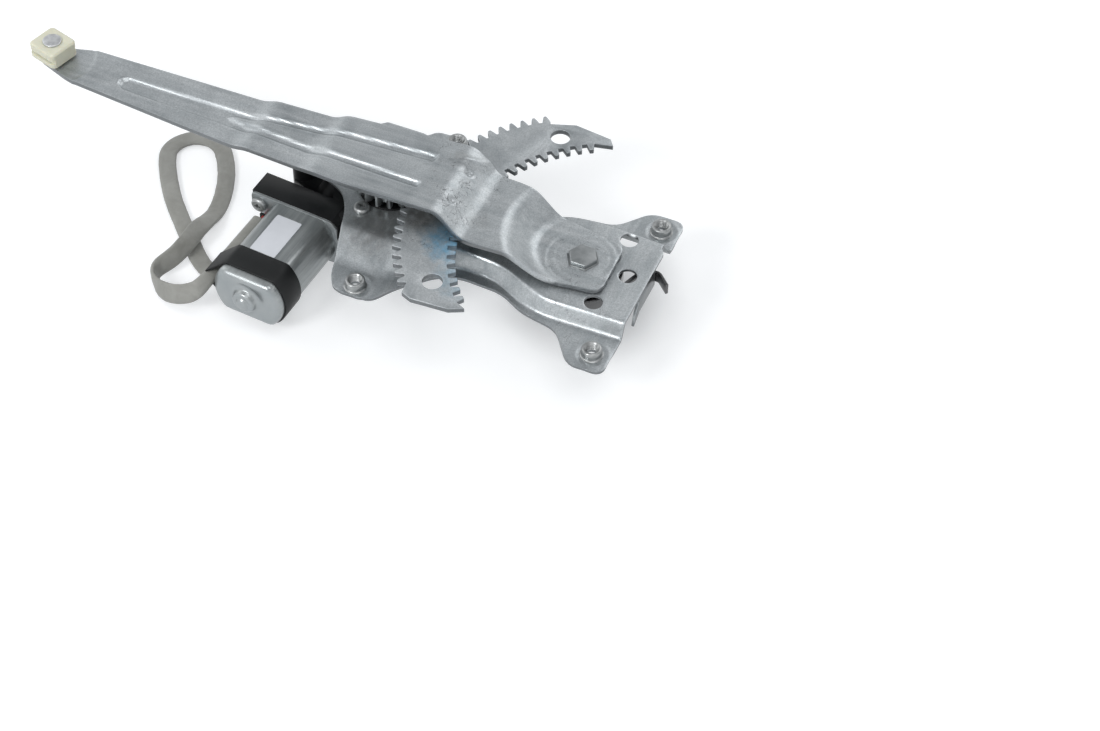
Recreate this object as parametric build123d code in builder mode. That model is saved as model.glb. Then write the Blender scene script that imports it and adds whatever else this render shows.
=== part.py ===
# Electric window regulator: a lift arm with a toothed sector, a counterbalance spring and a worm gear motor.
# The origin is on the arm's pivot axis, in the plane where the plate's lugs meet the door panel.
# +Z points to the arm side, and the arm lies along -X at rest. All sizes are in millimetres.
import os
from math import acos, cos, pi, radians, sin, sqrt, tan

from build123d import *

os.makedirs("parts", exist_ok=True)

# Clearances
running_gap = 0.04
slide_gap = 0.3
fit_gap = 0.05

# Base plate, one steel pressing
plate_sheet = 1.6
floor_height = 8.2
plate_far_x = 34.0
plate_corner_r = 3.5
notch_at = 27.0
notch = 2.2
floor_hole_r = 4.65
floor_hole_places = [(15.0, 23.9), (23.6, 1.0), (14.9, -21.9), (-30.9, -8.1), (-30.8, 12.8)]
service_hole_places = [(-66.0, -6.0), (-62.0, 12.0)]
service_hole_r = 4.2
anchor_end_y = 12.0
anchor_start_y = -9.0
anchor_depth = 10.5
anchor_spike = 4.2
end_wall_depth = 2.6

# Weld nuts on the four lugs
nut_places = [(-98.5, -52.8), (24.6, -46.6), (24.6, 43.4), (-94.2, 57.3)]
nut_thread_r = 3.0
nut_hole_gap = 0.6
nut_collar_r = 5.0
nut_base_r = 6.4
nut_base_height = 1.2
nut_height = 4.8

# Pivot pin, its bush and its retaining ring
pin_r = 7.9
pin_neck_r = 6.0
pin_end_z = -0.9
pin_slot = 2.3
pin_slot_depth = 7.0
pin_head_flats = 15.0
pin_head_height = 3.9
bush_wall = 1.5
bush_below = 0.8
bush_flange_r = 13.0
bush_flange = 0.55
ring_sheet = 1.0
ring_gap = 0.1
ring_r = 10.2
ring_groove = 0.9

# Counterbalance spring, a flat strip wound in a spiral
strip_thick = 1.5
strip_width = 6.6
strip_top_z = 6.0
coil_first_r = 11.0
coil_step = 1.444
coil_halves = 9
coil_last_turn = 72.0
leg_bend = 2.0
leg_end_y = -6.0
hook_reach = 8.0

# Lift arm, one steel pressing, described from the pivot to the tip
arm_sheet = 2.5
arm_corner_r = 4.0
channel_corner_r = 2.0
arm_pad_gap = 0.1
drop_centre_y = 5.4
drop_near_r = 27.0
drop_far_r = 40.0
sector_floor_z = 19.3
sector_sheet = 3.0
arm_high_rise = 9.2
joggle_drop = 2.2
weld_to_x = -57.0
high_from_x = -71.0
joggle_two_x = -142.0
joggle_one_x = -181.0
joggle_run = 6.0
channel_depth = 2.0
channel_wall = 1.2

# Toothed sector and output pinion
gear_module = 1.9
pressure_angle = 20.0
tooth_thinning = 0.16
sector_full_teeth = 96
sector_teeth = 26
sector_mid_angle = 172.0
pinion_teeth = 18
pinion_angle = 175.0
pinion_width = 10.5
wing_depth = 11.8
inner_centre_shift = 17.5
inner_pitch = 5.97
inner_tooth_depth = 4.3
wing_hole_angle = 50.4
wing_hole_place = 0.4
wing_hole_share = 0.257
low_wing_end = [(223.6, 1.0), (227.0, 0.975), (236.9, 0.835), (240.1, 0.763)]
high_wing_end = [(100.8, 0.771), (102.4, 0.819), (115.2, 0.912), (124.4, 0.938)]

# Slider at the arm's tip
slider_at = (-298.9, 6.3)
slider_turn = -16.0
slider_length = 18.0
slider_breadth = 17.0
slider_height = 8.6
slider_groove = 1.6
slider_lift = 1.2
stud_r = 4.0
stud_head_r = 4.9
stud_head = 1.0
stud_foot_r = 5.2
stud_foot = 1.3

# Gear unit, set in its own plane, turned a little on the base plate
unit_turn = -4.5
worm_z = -10.0
worm_pitch_r = 6.87
worm_depth = 0.85
worm_pitch = 3.1
worm_turns = 5
wheel_teeth = 56
wheel_width = 10.0
wheel_tooth = 1.0
wheel_hub_r = 7.5
damper_first_r = 9.5
vane_count = 3
vane_thick = 3.0
drum_gap = 0.4
drum_wall = 1.4
housing_top_z = 4.0
housing_bottom_z = -21.5
boss_ring_r = 16.6
boss_rise = 0.8
cover_sheet = 1.0
cover_rim = 2.2
cover_emboss = 0.7
output_shaft_r = 5.0
tube_wall = 1.2
tube_nose = 30.0
ear_r = 5.4
ear_z = -8.0
ear_places = [(-51.0, -3.5), (-48.6, 10.0), (-7.5, 34.2)]
screw_r = 2.4
screw_head_r = 4.2
screw_head = 2.6
plate_screw_at_r = 21.7
plate_screw_angle = -104.7

# Motor
motor_from = 31.0
can_r = 19.5
can_flat = 14.0
can_wall = 1.6
can_length = 55.0
can_round = 3.0
end_boss_r = 5.6
end_boss_length = 5.0
flange_sheet = 1.5
flange_screw_depth = 4.0
flange_edge = 0.3
flange_side = 1.0
flange_ear = 10.0
flange_low_ear = 7.5
screw_beside_can = 5.1
low_screw_beside_can = 4.3
brush_space_r = 15.5
brush_space = 9.0
shaft_r = 2.5
bearing_r = 5.5
bearing_length = 6.0
armature_gap = 0.8
armature_stack = 26.0
magnet_gap = 1.7
armature_slot = 5.2
winding_inset = 1.4
winding_over_shaft = 0.9
commutator_r = 7.0
commutator_length = 6.0
commutator_gap = 1.2
strap_width = 14.0
strap_thick = 1.0
strap_from_end = 19.0

# Lead
sleeve_r = 3.2
sleeve_beside_can = 0.5
sleeve_height = -2.0
table_z = -32.5
connector_length = 20.0
connector_width = 12.0
connector_height = 8.6
terminal_gap = 5.0


def tooth_flank(teeth, tip_r, root_r, steps):
    """Half width angles of an involute tooth, from the root to the tip, as (radius, angle) pairs."""
    pitch_r = teeth * gear_module / 2
    base_r = pitch_r * cos(radians(pressure_angle))
    half = pi / (2 * teeth) - tooth_thinning / (2 * pitch_r)
    at_pitch = tan(radians(pressure_angle)) - radians(pressure_angle)
    flank = []
    for step in range(steps + 1):
        radius = root_r + (tip_r - root_r) * step / steps
        turn = acos(min(1.0, base_r / radius))
        flank.append((radius, half + at_pitch - (tan(turn) - turn)))
    return flank


def around(radius, angle):
    """A point at a radius and an angle in radians."""
    return (radius * cos(angle), radius * sin(angle))


def inset(points, distance):
    """The same outline with every side moved inwards; the points run anticlockwise."""
    moved = []
    for before, here, after in zip(points[-1:] + points[:-1], points, points[1:] + points[:1]):
        first = (Vector(*here) - Vector(*before)).normalized()
        second = (Vector(*after) - Vector(*here)).normalized()
        corner = (first.rotate(Axis.Z, 90) + second.rotate(Axis.Z, 90)).normalized()
        reach = distance / corner.dot(first.rotate(Axis.Z, 90))
        moved.append((here[0] + corner.X * reach, here[1] + corner.Y * reach))
    return moved


def corner_radii(points, largest):
    """Radii for the corners of a closed outline, smaller where a short side or a sharp corner needs it."""
    radii = []
    for before, here, after in zip(points[-1:] + points[:-1], points, points[1:] + points[:1]):
        first = Vector(*here) - Vector(*before)
        second = Vector(*after) - Vector(*here)
        reach = 0.45 * min(first.length, second.length)
        radii.append(min(largest, reach / tan(radians(first.get_angle(second)) / 2)))
    return radii


# Values that follow from the sizes above
floor_top = floor_height + plate_sheet
bush_bore_r = pin_r + running_gap
bush_r = bush_bore_r + bush_wall
pad_z = floor_top + bush_flange + arm_pad_gap
arm_low_z = sector_floor_z + sector_sheet
arm_high_z = arm_low_z + arm_high_rise
arm_mid_z = arm_high_z - joggle_drop
arm_tip_z = arm_mid_z - joggle_drop
sector_pitch_r = sector_full_teeth * gear_module / 2
pinion_pitch_r = pinion_teeth * gear_module / 2
pinion_distance = sector_pitch_r + pinion_pitch_r
unit_centre = around(pinion_distance, radians(pinion_angle))
unit_x = (cos(radians(unit_turn)), sin(radians(unit_turn)), 0)
wheel_pitch_r = wheel_teeth * worm_pitch / (2 * pi)
wheel_tip_r = wheel_pitch_r + worm_depth
worm_offset = wheel_pitch_r + worm_pitch_r
worm_bore_r = worm_pitch_r + worm_depth + slide_gap
tube_r = worm_bore_r + tube_wall
drum_bore_r = wheel_tip_r + drum_gap
drum_r = drum_bore_r + drum_wall
cover_r = drum_r + cover_sheet
wheel_bottom_z = worm_z - wheel_width / 2
wheel_top_z = worm_z + wheel_width / 2
pinion_z = floor_top + screw_head + boss_rise
table_centre_z = table_z + sleeve_r


def unit_plane(z):
    """A plane of the gear unit, at a height, with its centre on the worm wheel's axis."""
    return Plane(origin=(unit_centre[0], unit_centre[1], z), x_dir=unit_x, z_dir=(0, 0, 1))


def motor_plane(along):
    """A plane across the motor's axis, its normal pointing from the gears to the can's closed end."""
    middle = unit_plane(worm_z).from_local_coords((-worm_offset, -along, 0))
    down_axis = (sin(radians(unit_turn)), -cos(radians(unit_turn)), 0)
    return Plane(origin=middle, x_dir=unit_x, z_dir=down_axis)


# The motor's axis, and a plane through it for turned pieces: X runs to the closed end and Y is the radius
motor_axis = Axis(motor_plane(0).origin, motor_plane(0).z_dir)
turned_plane = Plane(origin=motor_plane(0).origin, x_dir=motor_plane(0).z_dir, z_dir=(0, 0, 1))


# Base plate: the lugs lie in one plane and the floor between them is raised
plate_outline = [
    (-113, -51), (-107.5, -59.2), (-88, -59.2), (-79.6, -45.5), (-64.5, -30.3), (-54, -26.4), (-31.5, -27.4),
    (-17.5, -35.2), (2.5, -38.8), (15.5, -56.8), (plate_far_x, -56.8),
    (plate_far_x, notch_at - 2 * notch), (plate_far_x - notch, notch_at - notch),
    (plate_far_x - notch, notch_at + notch),
    (plate_far_x, notch_at + 2 * notch), (plate_far_x, 53.6), (15.5, 53.6),
    (2.5, 37.8), (-19, 35.2), (-31.5, 29.8), (-53, 31), (-61, 35), (-87, 64), (-108, 62.8), (-112, 57.5),
    (-124, 57), (-142, 41), (-164, 33), (-164, 3), (-145, 3), (-129, -4), (-122, -16),
]
step_foot = [
    (-185, -38.5), (-86, -40.8), (-70, -24.6), (-57, -19.8), (-36, -20.6), (-20, -29), (-8, -32.4), (50, -31),
    (50, 31.4), (3, 32.6), (-14, 32), (-29, 26), (-46, 25.2), (-60, 26.8), (-81, 42.5), (-103, 51.5),
    (-107, 55.3), (-185, 55.3),
]
step_head = [
    (-185, -23), (-92, -25.5), (-73, -16.5), (-58, -17), (-36, -18), (-19, -26.2), (-7.4, -29.8), (50, -28.6),
    (50, 29), (3.4, 30), (-13.2, 29.4), (-28, 23.4), (-46, 22.6), (-62, 22), (-84, 33.5), (-102.5, 46),
    (-107.5, 52.3), (-185, 52.3),
]
plate_radii = corner_radii(plate_outline, plate_corner_r)
anchor_outline = [
    (anchor_end_y, floor_height), (anchor_end_y, floor_height - anchor_depth),
    (anchor_start_y + 1, floor_height - anchor_depth),
    (anchor_start_y - 6, floor_height - anchor_depth - anchor_spike),
    (anchor_start_y - 4, floor_height - anchor_depth + 3), (anchor_start_y, floor_height - 3),
    (anchor_start_y, floor_height),
]
ear_centres = [unit_plane(0).from_local_coords((place[0], place[1], 0)) for place in ear_places]
with BuildSketch() as plate_blank:
    with BuildLine():
        FilletPolyline(*plate_outline, radius=plate_radii, close=True)
    make_face()
with BuildPart() as base_plate:
    add(plate_blank.sketch)
    extrude(amount=plate_sheet)
    with BuildSketch():
        with BuildLine():
            Polyline(*step_foot, close=True)
        make_face()
    with BuildSketch(Plane.XY.offset(floor_top)):
        with BuildLine():
            Polyline(*step_head, close=True)
        make_face()
    loft(ruled=True)
    with BuildSketch(Plane.XY.offset(-0.01)):
        with BuildLine():
            Polyline(*inset(step_foot, plate_sheet), close=True)
        make_face()
    with BuildSketch(Plane.XY.offset(floor_height)):
        with BuildLine():
            Polyline(*inset(step_head, plate_sheet), close=True)
        make_face()
    loft(ruled=True, mode=Mode.SUBTRACT)
    add(plate_blank.sketch)
    extrude(amount=4 * floor_top, both=True, mode=Mode.INTERSECT)
    # A low wall bent down along the motor's side
    with BuildSketch(Plane.XY.offset(floor_height)):
        with BuildLine():
            Polyline(*plate_outline, close=True)
        make_face()
        with BuildLine():
            Polyline(*inset(plate_outline, plate_sheet), close=True)
        make_face(mode=Mode.SUBTRACT)
        with Locations((-129, -5)):
            Rectangle(30, 32, mode=Mode.INTERSECT)
    extrude(amount=-end_wall_depth)
    # The tab that holds the spring's outer end
    with BuildSketch(Plane.YZ.offset(plate_far_x)):
        with BuildLine():
            Polyline(*anchor_outline, close=True)
        make_face()
    extrude(amount=-plate_sheet)
    # Holes: mounting, lightening, pivot, gear unit
    with BuildSketch():
        with Locations(*nut_places):
            Circle(nut_thread_r + nut_hole_gap)
    extrude(amount=plate_sheet, mode=Mode.SUBTRACT)
    with BuildSketch(Plane.XY.offset(floor_height)):
        with Locations(*floor_hole_places):
            Circle(floor_hole_r)
        with Locations(*service_hole_places):
            Circle(service_hole_r)
        Circle(bush_r)
        with Locations(*[(place.X, place.Y) for place in ear_centres]):
            Circle(screw_r)
    extrude(amount=plate_sheet, mode=Mode.SUBTRACT)
    with BuildSketch(unit_plane(floor_height)):
        Circle(boss_ring_r + slide_gap)
        with PolarLocations(plate_screw_at_r, 3, start_angle=plate_screw_angle):
            Circle(screw_r)
    extrude(amount=plate_sheet, mode=Mode.SUBTRACT)
base_plate.part.label = "base_plate"
export_step(base_plate.part, "parts/base_plate.step")

# Weld nuts: a round collar on a wider base, chamfered at the mouth
with BuildPart() as weld_nuts:
    with BuildSketch(Plane.XY.offset(plate_sheet)):
        with Locations(*nut_places):
            Circle(nut_base_r)
    extrude(amount=nut_base_height)
    with BuildSketch(Plane.XY.offset(plate_sheet)):
        with Locations(*nut_places):
            Circle(nut_collar_r)
    extrude(amount=nut_height)
    chamfer(weld_nuts.edges().group_by(Axis.Z)[-1], 0.8)
    with BuildSketch(Plane.XY.offset(plate_sheet)):
        with Locations(*nut_places):
            Circle(nut_thread_r)
    extrude(amount=nut_height, mode=Mode.SUBTRACT)
weld_nuts.part.label = "weld_nuts"
export_step(weld_nuts.part, "parts/weld_nuts.step")

# Pivot bush, pressed into the plate, with its flange under the arm
with BuildPart() as pivot_bush:
    with BuildSketch(Plane.XY.offset(floor_height - bush_below)):
        Circle(bush_r)
    extrude(amount=bush_below + plate_sheet)
    with BuildSketch(Plane.XY.offset(floor_top)):
        Circle(bush_flange_r)
    extrude(amount=bush_flange)
    with BuildSketch(Plane.XY.offset(floor_height - bush_below)):
        Circle(bush_bore_r)
    extrude(amount=bush_below + plate_sheet + bush_flange, mode=Mode.SUBTRACT)
pivot_bush.part.label = "pivot_bush"
export_step(pivot_bush.part, "parts/pivot_bush.step")

# Pivot pin: slotted end, ring groove, riveted neck and a hexagonal head on the arm
ring_z = floor_height - bush_below - ring_gap - ring_sheet
with BuildPart() as pivot_pin:
    with BuildSketch(Plane.XY.offset(pin_end_z)):
        Circle(pin_r)
    extrude(amount=pad_z - pin_end_z)
    chamfer(pivot_pin.edges().group_by(Axis.Z)[0], 0.6)
    with BuildSketch(Plane.XY.offset(pad_z)):
        Circle(pin_neck_r)
    extrude(amount=arm_sheet)
    with BuildSketch(Plane.XY.offset(pad_z + arm_sheet)):
        RegularPolygon(pin_head_flats / 2, 6, major_radius=False)
    extrude(amount=pin_head_height)
    chamfer(pivot_pin.edges().group_by(Axis.Z)[-1], 0.5)
    with BuildSketch(Plane.XY.offset(pin_end_z)):
        Rectangle(pin_slot, 3 * pin_r)
    extrude(amount=pin_slot_depth, mode=Mode.SUBTRACT)
    with BuildSketch(Plane.XY.offset(ring_z - fit_gap)):
        Circle(pin_r + 1)
        Circle(pin_r - ring_groove, mode=Mode.SUBTRACT)
    extrude(amount=ring_sheet + 2 * fit_gap, mode=Mode.SUBTRACT)
pivot_pin.part.label = "pivot_pin"
export_step(pivot_pin.part, "parts/pivot_pin.step")

# Retaining ring in the pin's groove, open on one side
with BuildPart() as pivot_ring:
    with BuildSketch(Plane.XY.offset(ring_z)):
        Circle(ring_r)
        Circle(pin_r - ring_groove + fit_gap, mode=Mode.SUBTRACT)
        with Locations((-ring_r, 0)):
            Rectangle(ring_r, 2 * (pin_r - ring_groove) - 3, mode=Mode.SUBTRACT)
    extrude(amount=ring_sheet)
pivot_ring.part.label = "pivot_ring"
export_step(pivot_ring.part, "parts/pivot_ring.step")

# Counterbalance spring: half turns about two centres, one step apart, so the strip runs smoothly outwards
coil_x = -leg_bend
strip_z = strip_top_z - strip_width / 2
last_start = 90 + 180 * coil_halves
last_r = coil_first_r + coil_halves * coil_step
last_centre = (coil_x, coil_step * (coil_halves % 2))
coil_end = radians(last_start + coil_last_turn)
tail_from = (last_centre[0] + last_r * cos(coil_end), last_centre[1] + last_r * sin(coil_end))
tail_y = anchor_end_y + strip_thick / 2 + slide_gap
tail_length = (tail_y - tail_from[1]) / cos(coil_end)
tail_x = tail_from[0] - tail_length * sin(coil_end)
with BuildPart() as spiral_spring:
    with BuildLine() as strip_path:
        FilletPolyline(
            (0, leg_end_y), (0, coil_first_r), (coil_x - 0.001, coil_first_r), radius=leg_bend - 0.01,
        )
        for half in range(coil_halves):
            centre = (coil_x, coil_step * (half % 2))
            CenterArc(centre, coil_first_r + half * coil_step, 90 + 180 * half, 180)
        CenterArc(last_centre, last_r, last_start, coil_last_turn)
        FilletPolyline(
            tail_from, (tail_x, tail_y), (plate_far_x + 2, tail_y),
            (plate_far_x + hook_reach, tail_y - hook_reach), radius=1.5,
        )
    with BuildSketch(Plane(origin=(0, leg_end_y, strip_z), x_dir=(1, 0, 0), z_dir=(0, 1, 0))):
        Rectangle(strip_thick, strip_width)
    sweep(path=strip_path.wires()[0].moved(Location((0, 0, strip_z))))
spiral_spring.part.label = "spiral_spring"
export_step(spiral_spring.part, "parts/spiral_spring.step")

# Lift arm, seen from above
arm_outline = [
    (12.2, -17.4), (16.3, -13.9), (15.8, 12.9), (13.7, 16.4), (-20.5, 22), (-44.2, 25), (-53.9, 25.1),
    (-68.4, 30.3), (-139.4, 24.4), (-145, 22.4), (-178, 21.2), (-184, 20.5), (-282.3, 18.7), (-291.5, 15.8),
    (-305.6, 12.4), (-306.1, 2.3), (-286.4, -5), (-281.3, -6.2), (-210, -12.7), (-184, -14.8), (-178, -15.4),
    (-145, -17.2), (-139, -18.9), (-123, -20.1), (-66.4, -18.8), (-54.2, -23.4), (-24.6, -21.9),
]
channel_outline = [
    (-86, -7), (-86, 17.5), (-147, 13), (-183, 9), (-256, 7.8), (-258.8, 5.5), (-258.8, 1.6), (-255, -0.7),
    (-200, -2.4), (-148, -5.6),
]
land_outline = [
    (-80, -3.6), (-80, 13.4), (-148.5, 9.6), (-184, 6.1), (-193.5, 5.2), (-196.5, 3.6), (-193.5, 2),
    (-185, 0.8), (-148, -1.8),
]
arm_radii = corner_radii(arm_outline, arm_corner_r)
channel_radii = corner_radii(channel_outline, channel_corner_r)
land_radii = corner_radii(land_outline, channel_corner_r)
arm_levels = [
    (weld_to_x + 17, arm_low_z), (weld_to_x, arm_low_z), (high_from_x, arm_high_z),
    (joggle_two_x + joggle_run / 2, arm_high_z), (joggle_two_x - joggle_run / 2, arm_mid_z),
    (joggle_one_x + joggle_run / 2, arm_mid_z), (joggle_one_x - joggle_run / 2, arm_tip_z), (-320, arm_tip_z),
]


def arm_strip(low, high):
    """Side view of a layer that follows the arm's levels, between two heights above its underside."""
    under = [(x, z + low) for x, z in arm_levels]
    over = [(x, z + high) for x, z in reversed(arm_levels)]
    return under + over


with BuildPart() as channel_pocket:
    with BuildSketch(Plane.XZ):
        with BuildLine():
            Polyline(*arm_strip(arm_sheet - channel_depth, arm_sheet + 1), close=True)
        make_face()
    extrude(amount=60, both=True)
    with BuildSketch():
        with BuildLine():
            FilletPolyline(*channel_outline, radius=channel_radii, close=True)
        make_face()
        with BuildLine():
            FilletPolyline(*land_outline, radius=land_radii, close=True)
        make_face(mode=Mode.SUBTRACT)
    extrude(amount=2 * arm_high_z, mode=Mode.INTERSECT)
with BuildPart() as channel_back:
    with BuildSketch(Plane.XZ):
        with BuildLine():
            Polyline(*arm_strip(-channel_depth, 0.01), close=True)
        make_face()
    extrude(amount=60, both=True)
    with BuildSketch():
        with BuildLine():
            Polyline(*inset(channel_outline, -channel_wall), close=True)
        make_face()
        with BuildLine():
            Polyline(*inset(land_outline, channel_wall), close=True)
        make_face(mode=Mode.SUBTRACT)
    extrude(amount=2 * arm_high_z, mode=Mode.INTERSECT)
with BuildPart() as lift_arm:
    with BuildSketch(Plane.XZ):
        with BuildLine():
            Polyline(*arm_strip(0, arm_sheet), close=True)
        make_face()
    extrude(amount=60, both=True)
    with BuildSketch(Plane.XZ.offset(-drop_centre_y)):
        with BuildLine():
            Polyline(
                (0, pad_z), (drop_near_r, pad_z), (drop_far_r, arm_low_z), (60, arm_low_z),
                (60, arm_low_z + arm_sheet), (drop_far_r - 1.5, arm_low_z + arm_sheet),
                (drop_near_r - 1.5, pad_z + arm_sheet), (0, pad_z + arm_sheet), close=True,
            )
        make_face()
    revolve(axis=Axis((0, drop_centre_y, 0), (0, 0, 1)))
    with BuildSketch():
        with BuildLine():
            FilletPolyline(*arm_outline, radius=arm_radii, close=True)
        make_face()
    extrude(amount=2 * arm_high_z, mode=Mode.INTERSECT)
    add(channel_back.part)
    add(channel_pocket.part, mode=Mode.SUBTRACT)
    with BuildSketch(Plane.XY.offset(pad_z)):
        Circle(pin_neck_r)
    extrude(amount=arm_sheet, mode=Mode.SUBTRACT)
    with BuildSketch(Plane.XY.offset(arm_tip_z)):
        with Locations(slider_at):
            Circle(stud_r)
    extrude(amount=arm_sheet, mode=Mode.SUBTRACT)
lift_arm.part.label = "lift_arm"
export_step(lift_arm.part, "parts/lift_arm.step")

# Toothed sector: involute teeth outside, decorative teeth along the inner edge of both wings
sector_tip_r = sector_pitch_r + gear_module
sector_root_r = sector_pitch_r - 1.25 * gear_module
tooth_turn = 2 * pi / sector_full_teeth
first_tooth = radians(sector_mid_angle) - tooth_turn * (sector_teeth - 1) / 2
sector_points = []
for tooth in range(sector_teeth):
    middle = first_tooth + tooth * tooth_turn
    flank = tooth_flank(sector_full_teeth, sector_tip_r, sector_root_r, 3)
    sector_points += [around(radius, middle - half) for radius, half in flank]
    sector_points += [around(radius, middle + half) for radius, half in reversed(flank)]
inner_centre = around(-inner_centre_shift, radians(sector_mid_angle))
inner_tip_r = sector_root_r - wing_depth
inner_root_r = inner_tip_r + inner_tooth_depth
inner_turn = inner_pitch / inner_tip_r


def inner_point(radius, angle):
    """A point of the sector's inner edge, measured about that edge's own centre."""
    point = around(radius, radians(sector_mid_angle) + angle)
    return (point[0] + inner_centre[0], point[1] + inner_centre[1])




def inner_tooth(place):
    """The four corners of one tooth of the inner edge, counted in pitches from the sector's middle."""
    shape = [(inner_root_r, 0.3), (inner_tip_r, 0.17), (inner_tip_r, -0.17), (inner_root_r, -0.3)]
    return [inner_point(radius, (place + aside) * inner_turn) for radius, aside in shape]


sector_points += [around(sector_tip_r * share, radians(angle)) for angle, share in low_wing_end]
for tooth in range(12, 3, -1):
    sector_points += inner_tooth(tooth - 0.5)
tongue_x = -drop_far_r - 1.5
sector_points += [inner_point(inner_tip_r, 2.6 * inner_turn), (tongue_x, -17), (tongue_x, 19)]
sector_points += [inner_point(inner_tip_r, -2.6 * inner_turn)]
for tooth in range(4, 13):
    sector_points += inner_tooth(0.5 - tooth)
sector_points += [around(sector_tip_r * share, radians(angle)) for angle, share in high_wing_end]
# The round hole in each wing lies between the inner edge and the roots of the outer teeth
shift_across = inner_centre_shift * sin(radians(wing_hole_angle))
wing_edge_r = sqrt(inner_root_r ** 2 - shift_across ** 2) - inner_centre_shift * cos(radians(wing_hole_angle))
wing_hole_at_r = wing_edge_r + wing_hole_place * (sector_root_r - wing_edge_r)
wing_hole_r = wing_hole_share * (sector_root_r - wing_edge_r)
with BuildPart() as sector_gear:
    with BuildSketch(Plane.XY.offset(sector_floor_z)):
        with BuildLine():
            Polyline(*sector_points, close=True)
        make_face()
        with Locations(
            around(wing_hole_at_r, radians(sector_mid_angle - wing_hole_angle)),
            around(wing_hole_at_r, radians(sector_mid_angle + wing_hole_angle)),
        ):
            Circle(wing_hole_r, mode=Mode.SUBTRACT)
    extrude(amount=sector_sheet)
sector_gear.part.label = "sector_gear"
export_step(sector_gear.part, "parts/sector_gear.step")

# Stud riveted in the arm's tip, and the plastic slider that turns on it
stud_shoulder_z = arm_tip_z + arm_sheet
slider_z = stud_shoulder_z + slider_lift
with BuildPart() as slider_stud:
    with BuildSketch(Plane.XY.offset(arm_tip_z - stud_foot)):
        with Locations(slider_at):
            Circle(stud_foot_r)
    extrude(amount=stud_foot)
    with BuildSketch(Plane.XY.offset(arm_tip_z)):
        with Locations(slider_at):
            Circle(stud_r)
    extrude(amount=slider_z + slider_height - arm_tip_z + fit_gap)
    with BuildSketch(Plane.XY.offset(stud_shoulder_z)):
        with Locations(slider_at):
            Circle(stud_foot_r)
    extrude(amount=slider_lift - fit_gap)
    with BuildSketch(Plane.XY.offset(slider_z + slider_height + fit_gap)):
        with Locations(slider_at):
            Circle(stud_head_r)
    extrude(amount=stud_head)
    chamfer(slider_stud.edges().group_by(Axis.Z)[-1], 0.3)
    chamfer(slider_stud.edges().group_by(Axis.Z)[0], 0.5)
slider_stud.part.label = "slider_stud"
export_step(slider_stud.part, "parts/slider_stud.step")

with BuildPart() as slider_block:
    with BuildSketch(Plane.XY.offset(slider_z)):
        with Locations(Location(slider_at + (0,), (0, 0, slider_turn))):
            RectangleRounded(slider_length, slider_breadth, 2.5)
    extrude(amount=slider_height)
    chamfer(slider_block.edges().group_by(Axis.Z)[-1], 0.8)
    with BuildSketch(Plane.XY.offset(slider_z + 2.2)):
        with Locations(Location(slider_at + (0,), (0, 0, slider_turn))):
            with Locations((0, slider_breadth / 2), (0, -slider_breadth / 2)):
                Rectangle(2 * slider_length, 2 * slider_groove)
    extrude(amount=2.4, mode=Mode.SUBTRACT)
    with BuildSketch(Plane.XY.offset(slider_z)):
        with Locations(slider_at):
            Circle(stud_r + running_gap)
    extrude(amount=slider_height, mode=Mode.SUBTRACT)
slider_block.part.label = "slider_block"
export_step(slider_block.part, "parts/slider_block.step")

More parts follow.
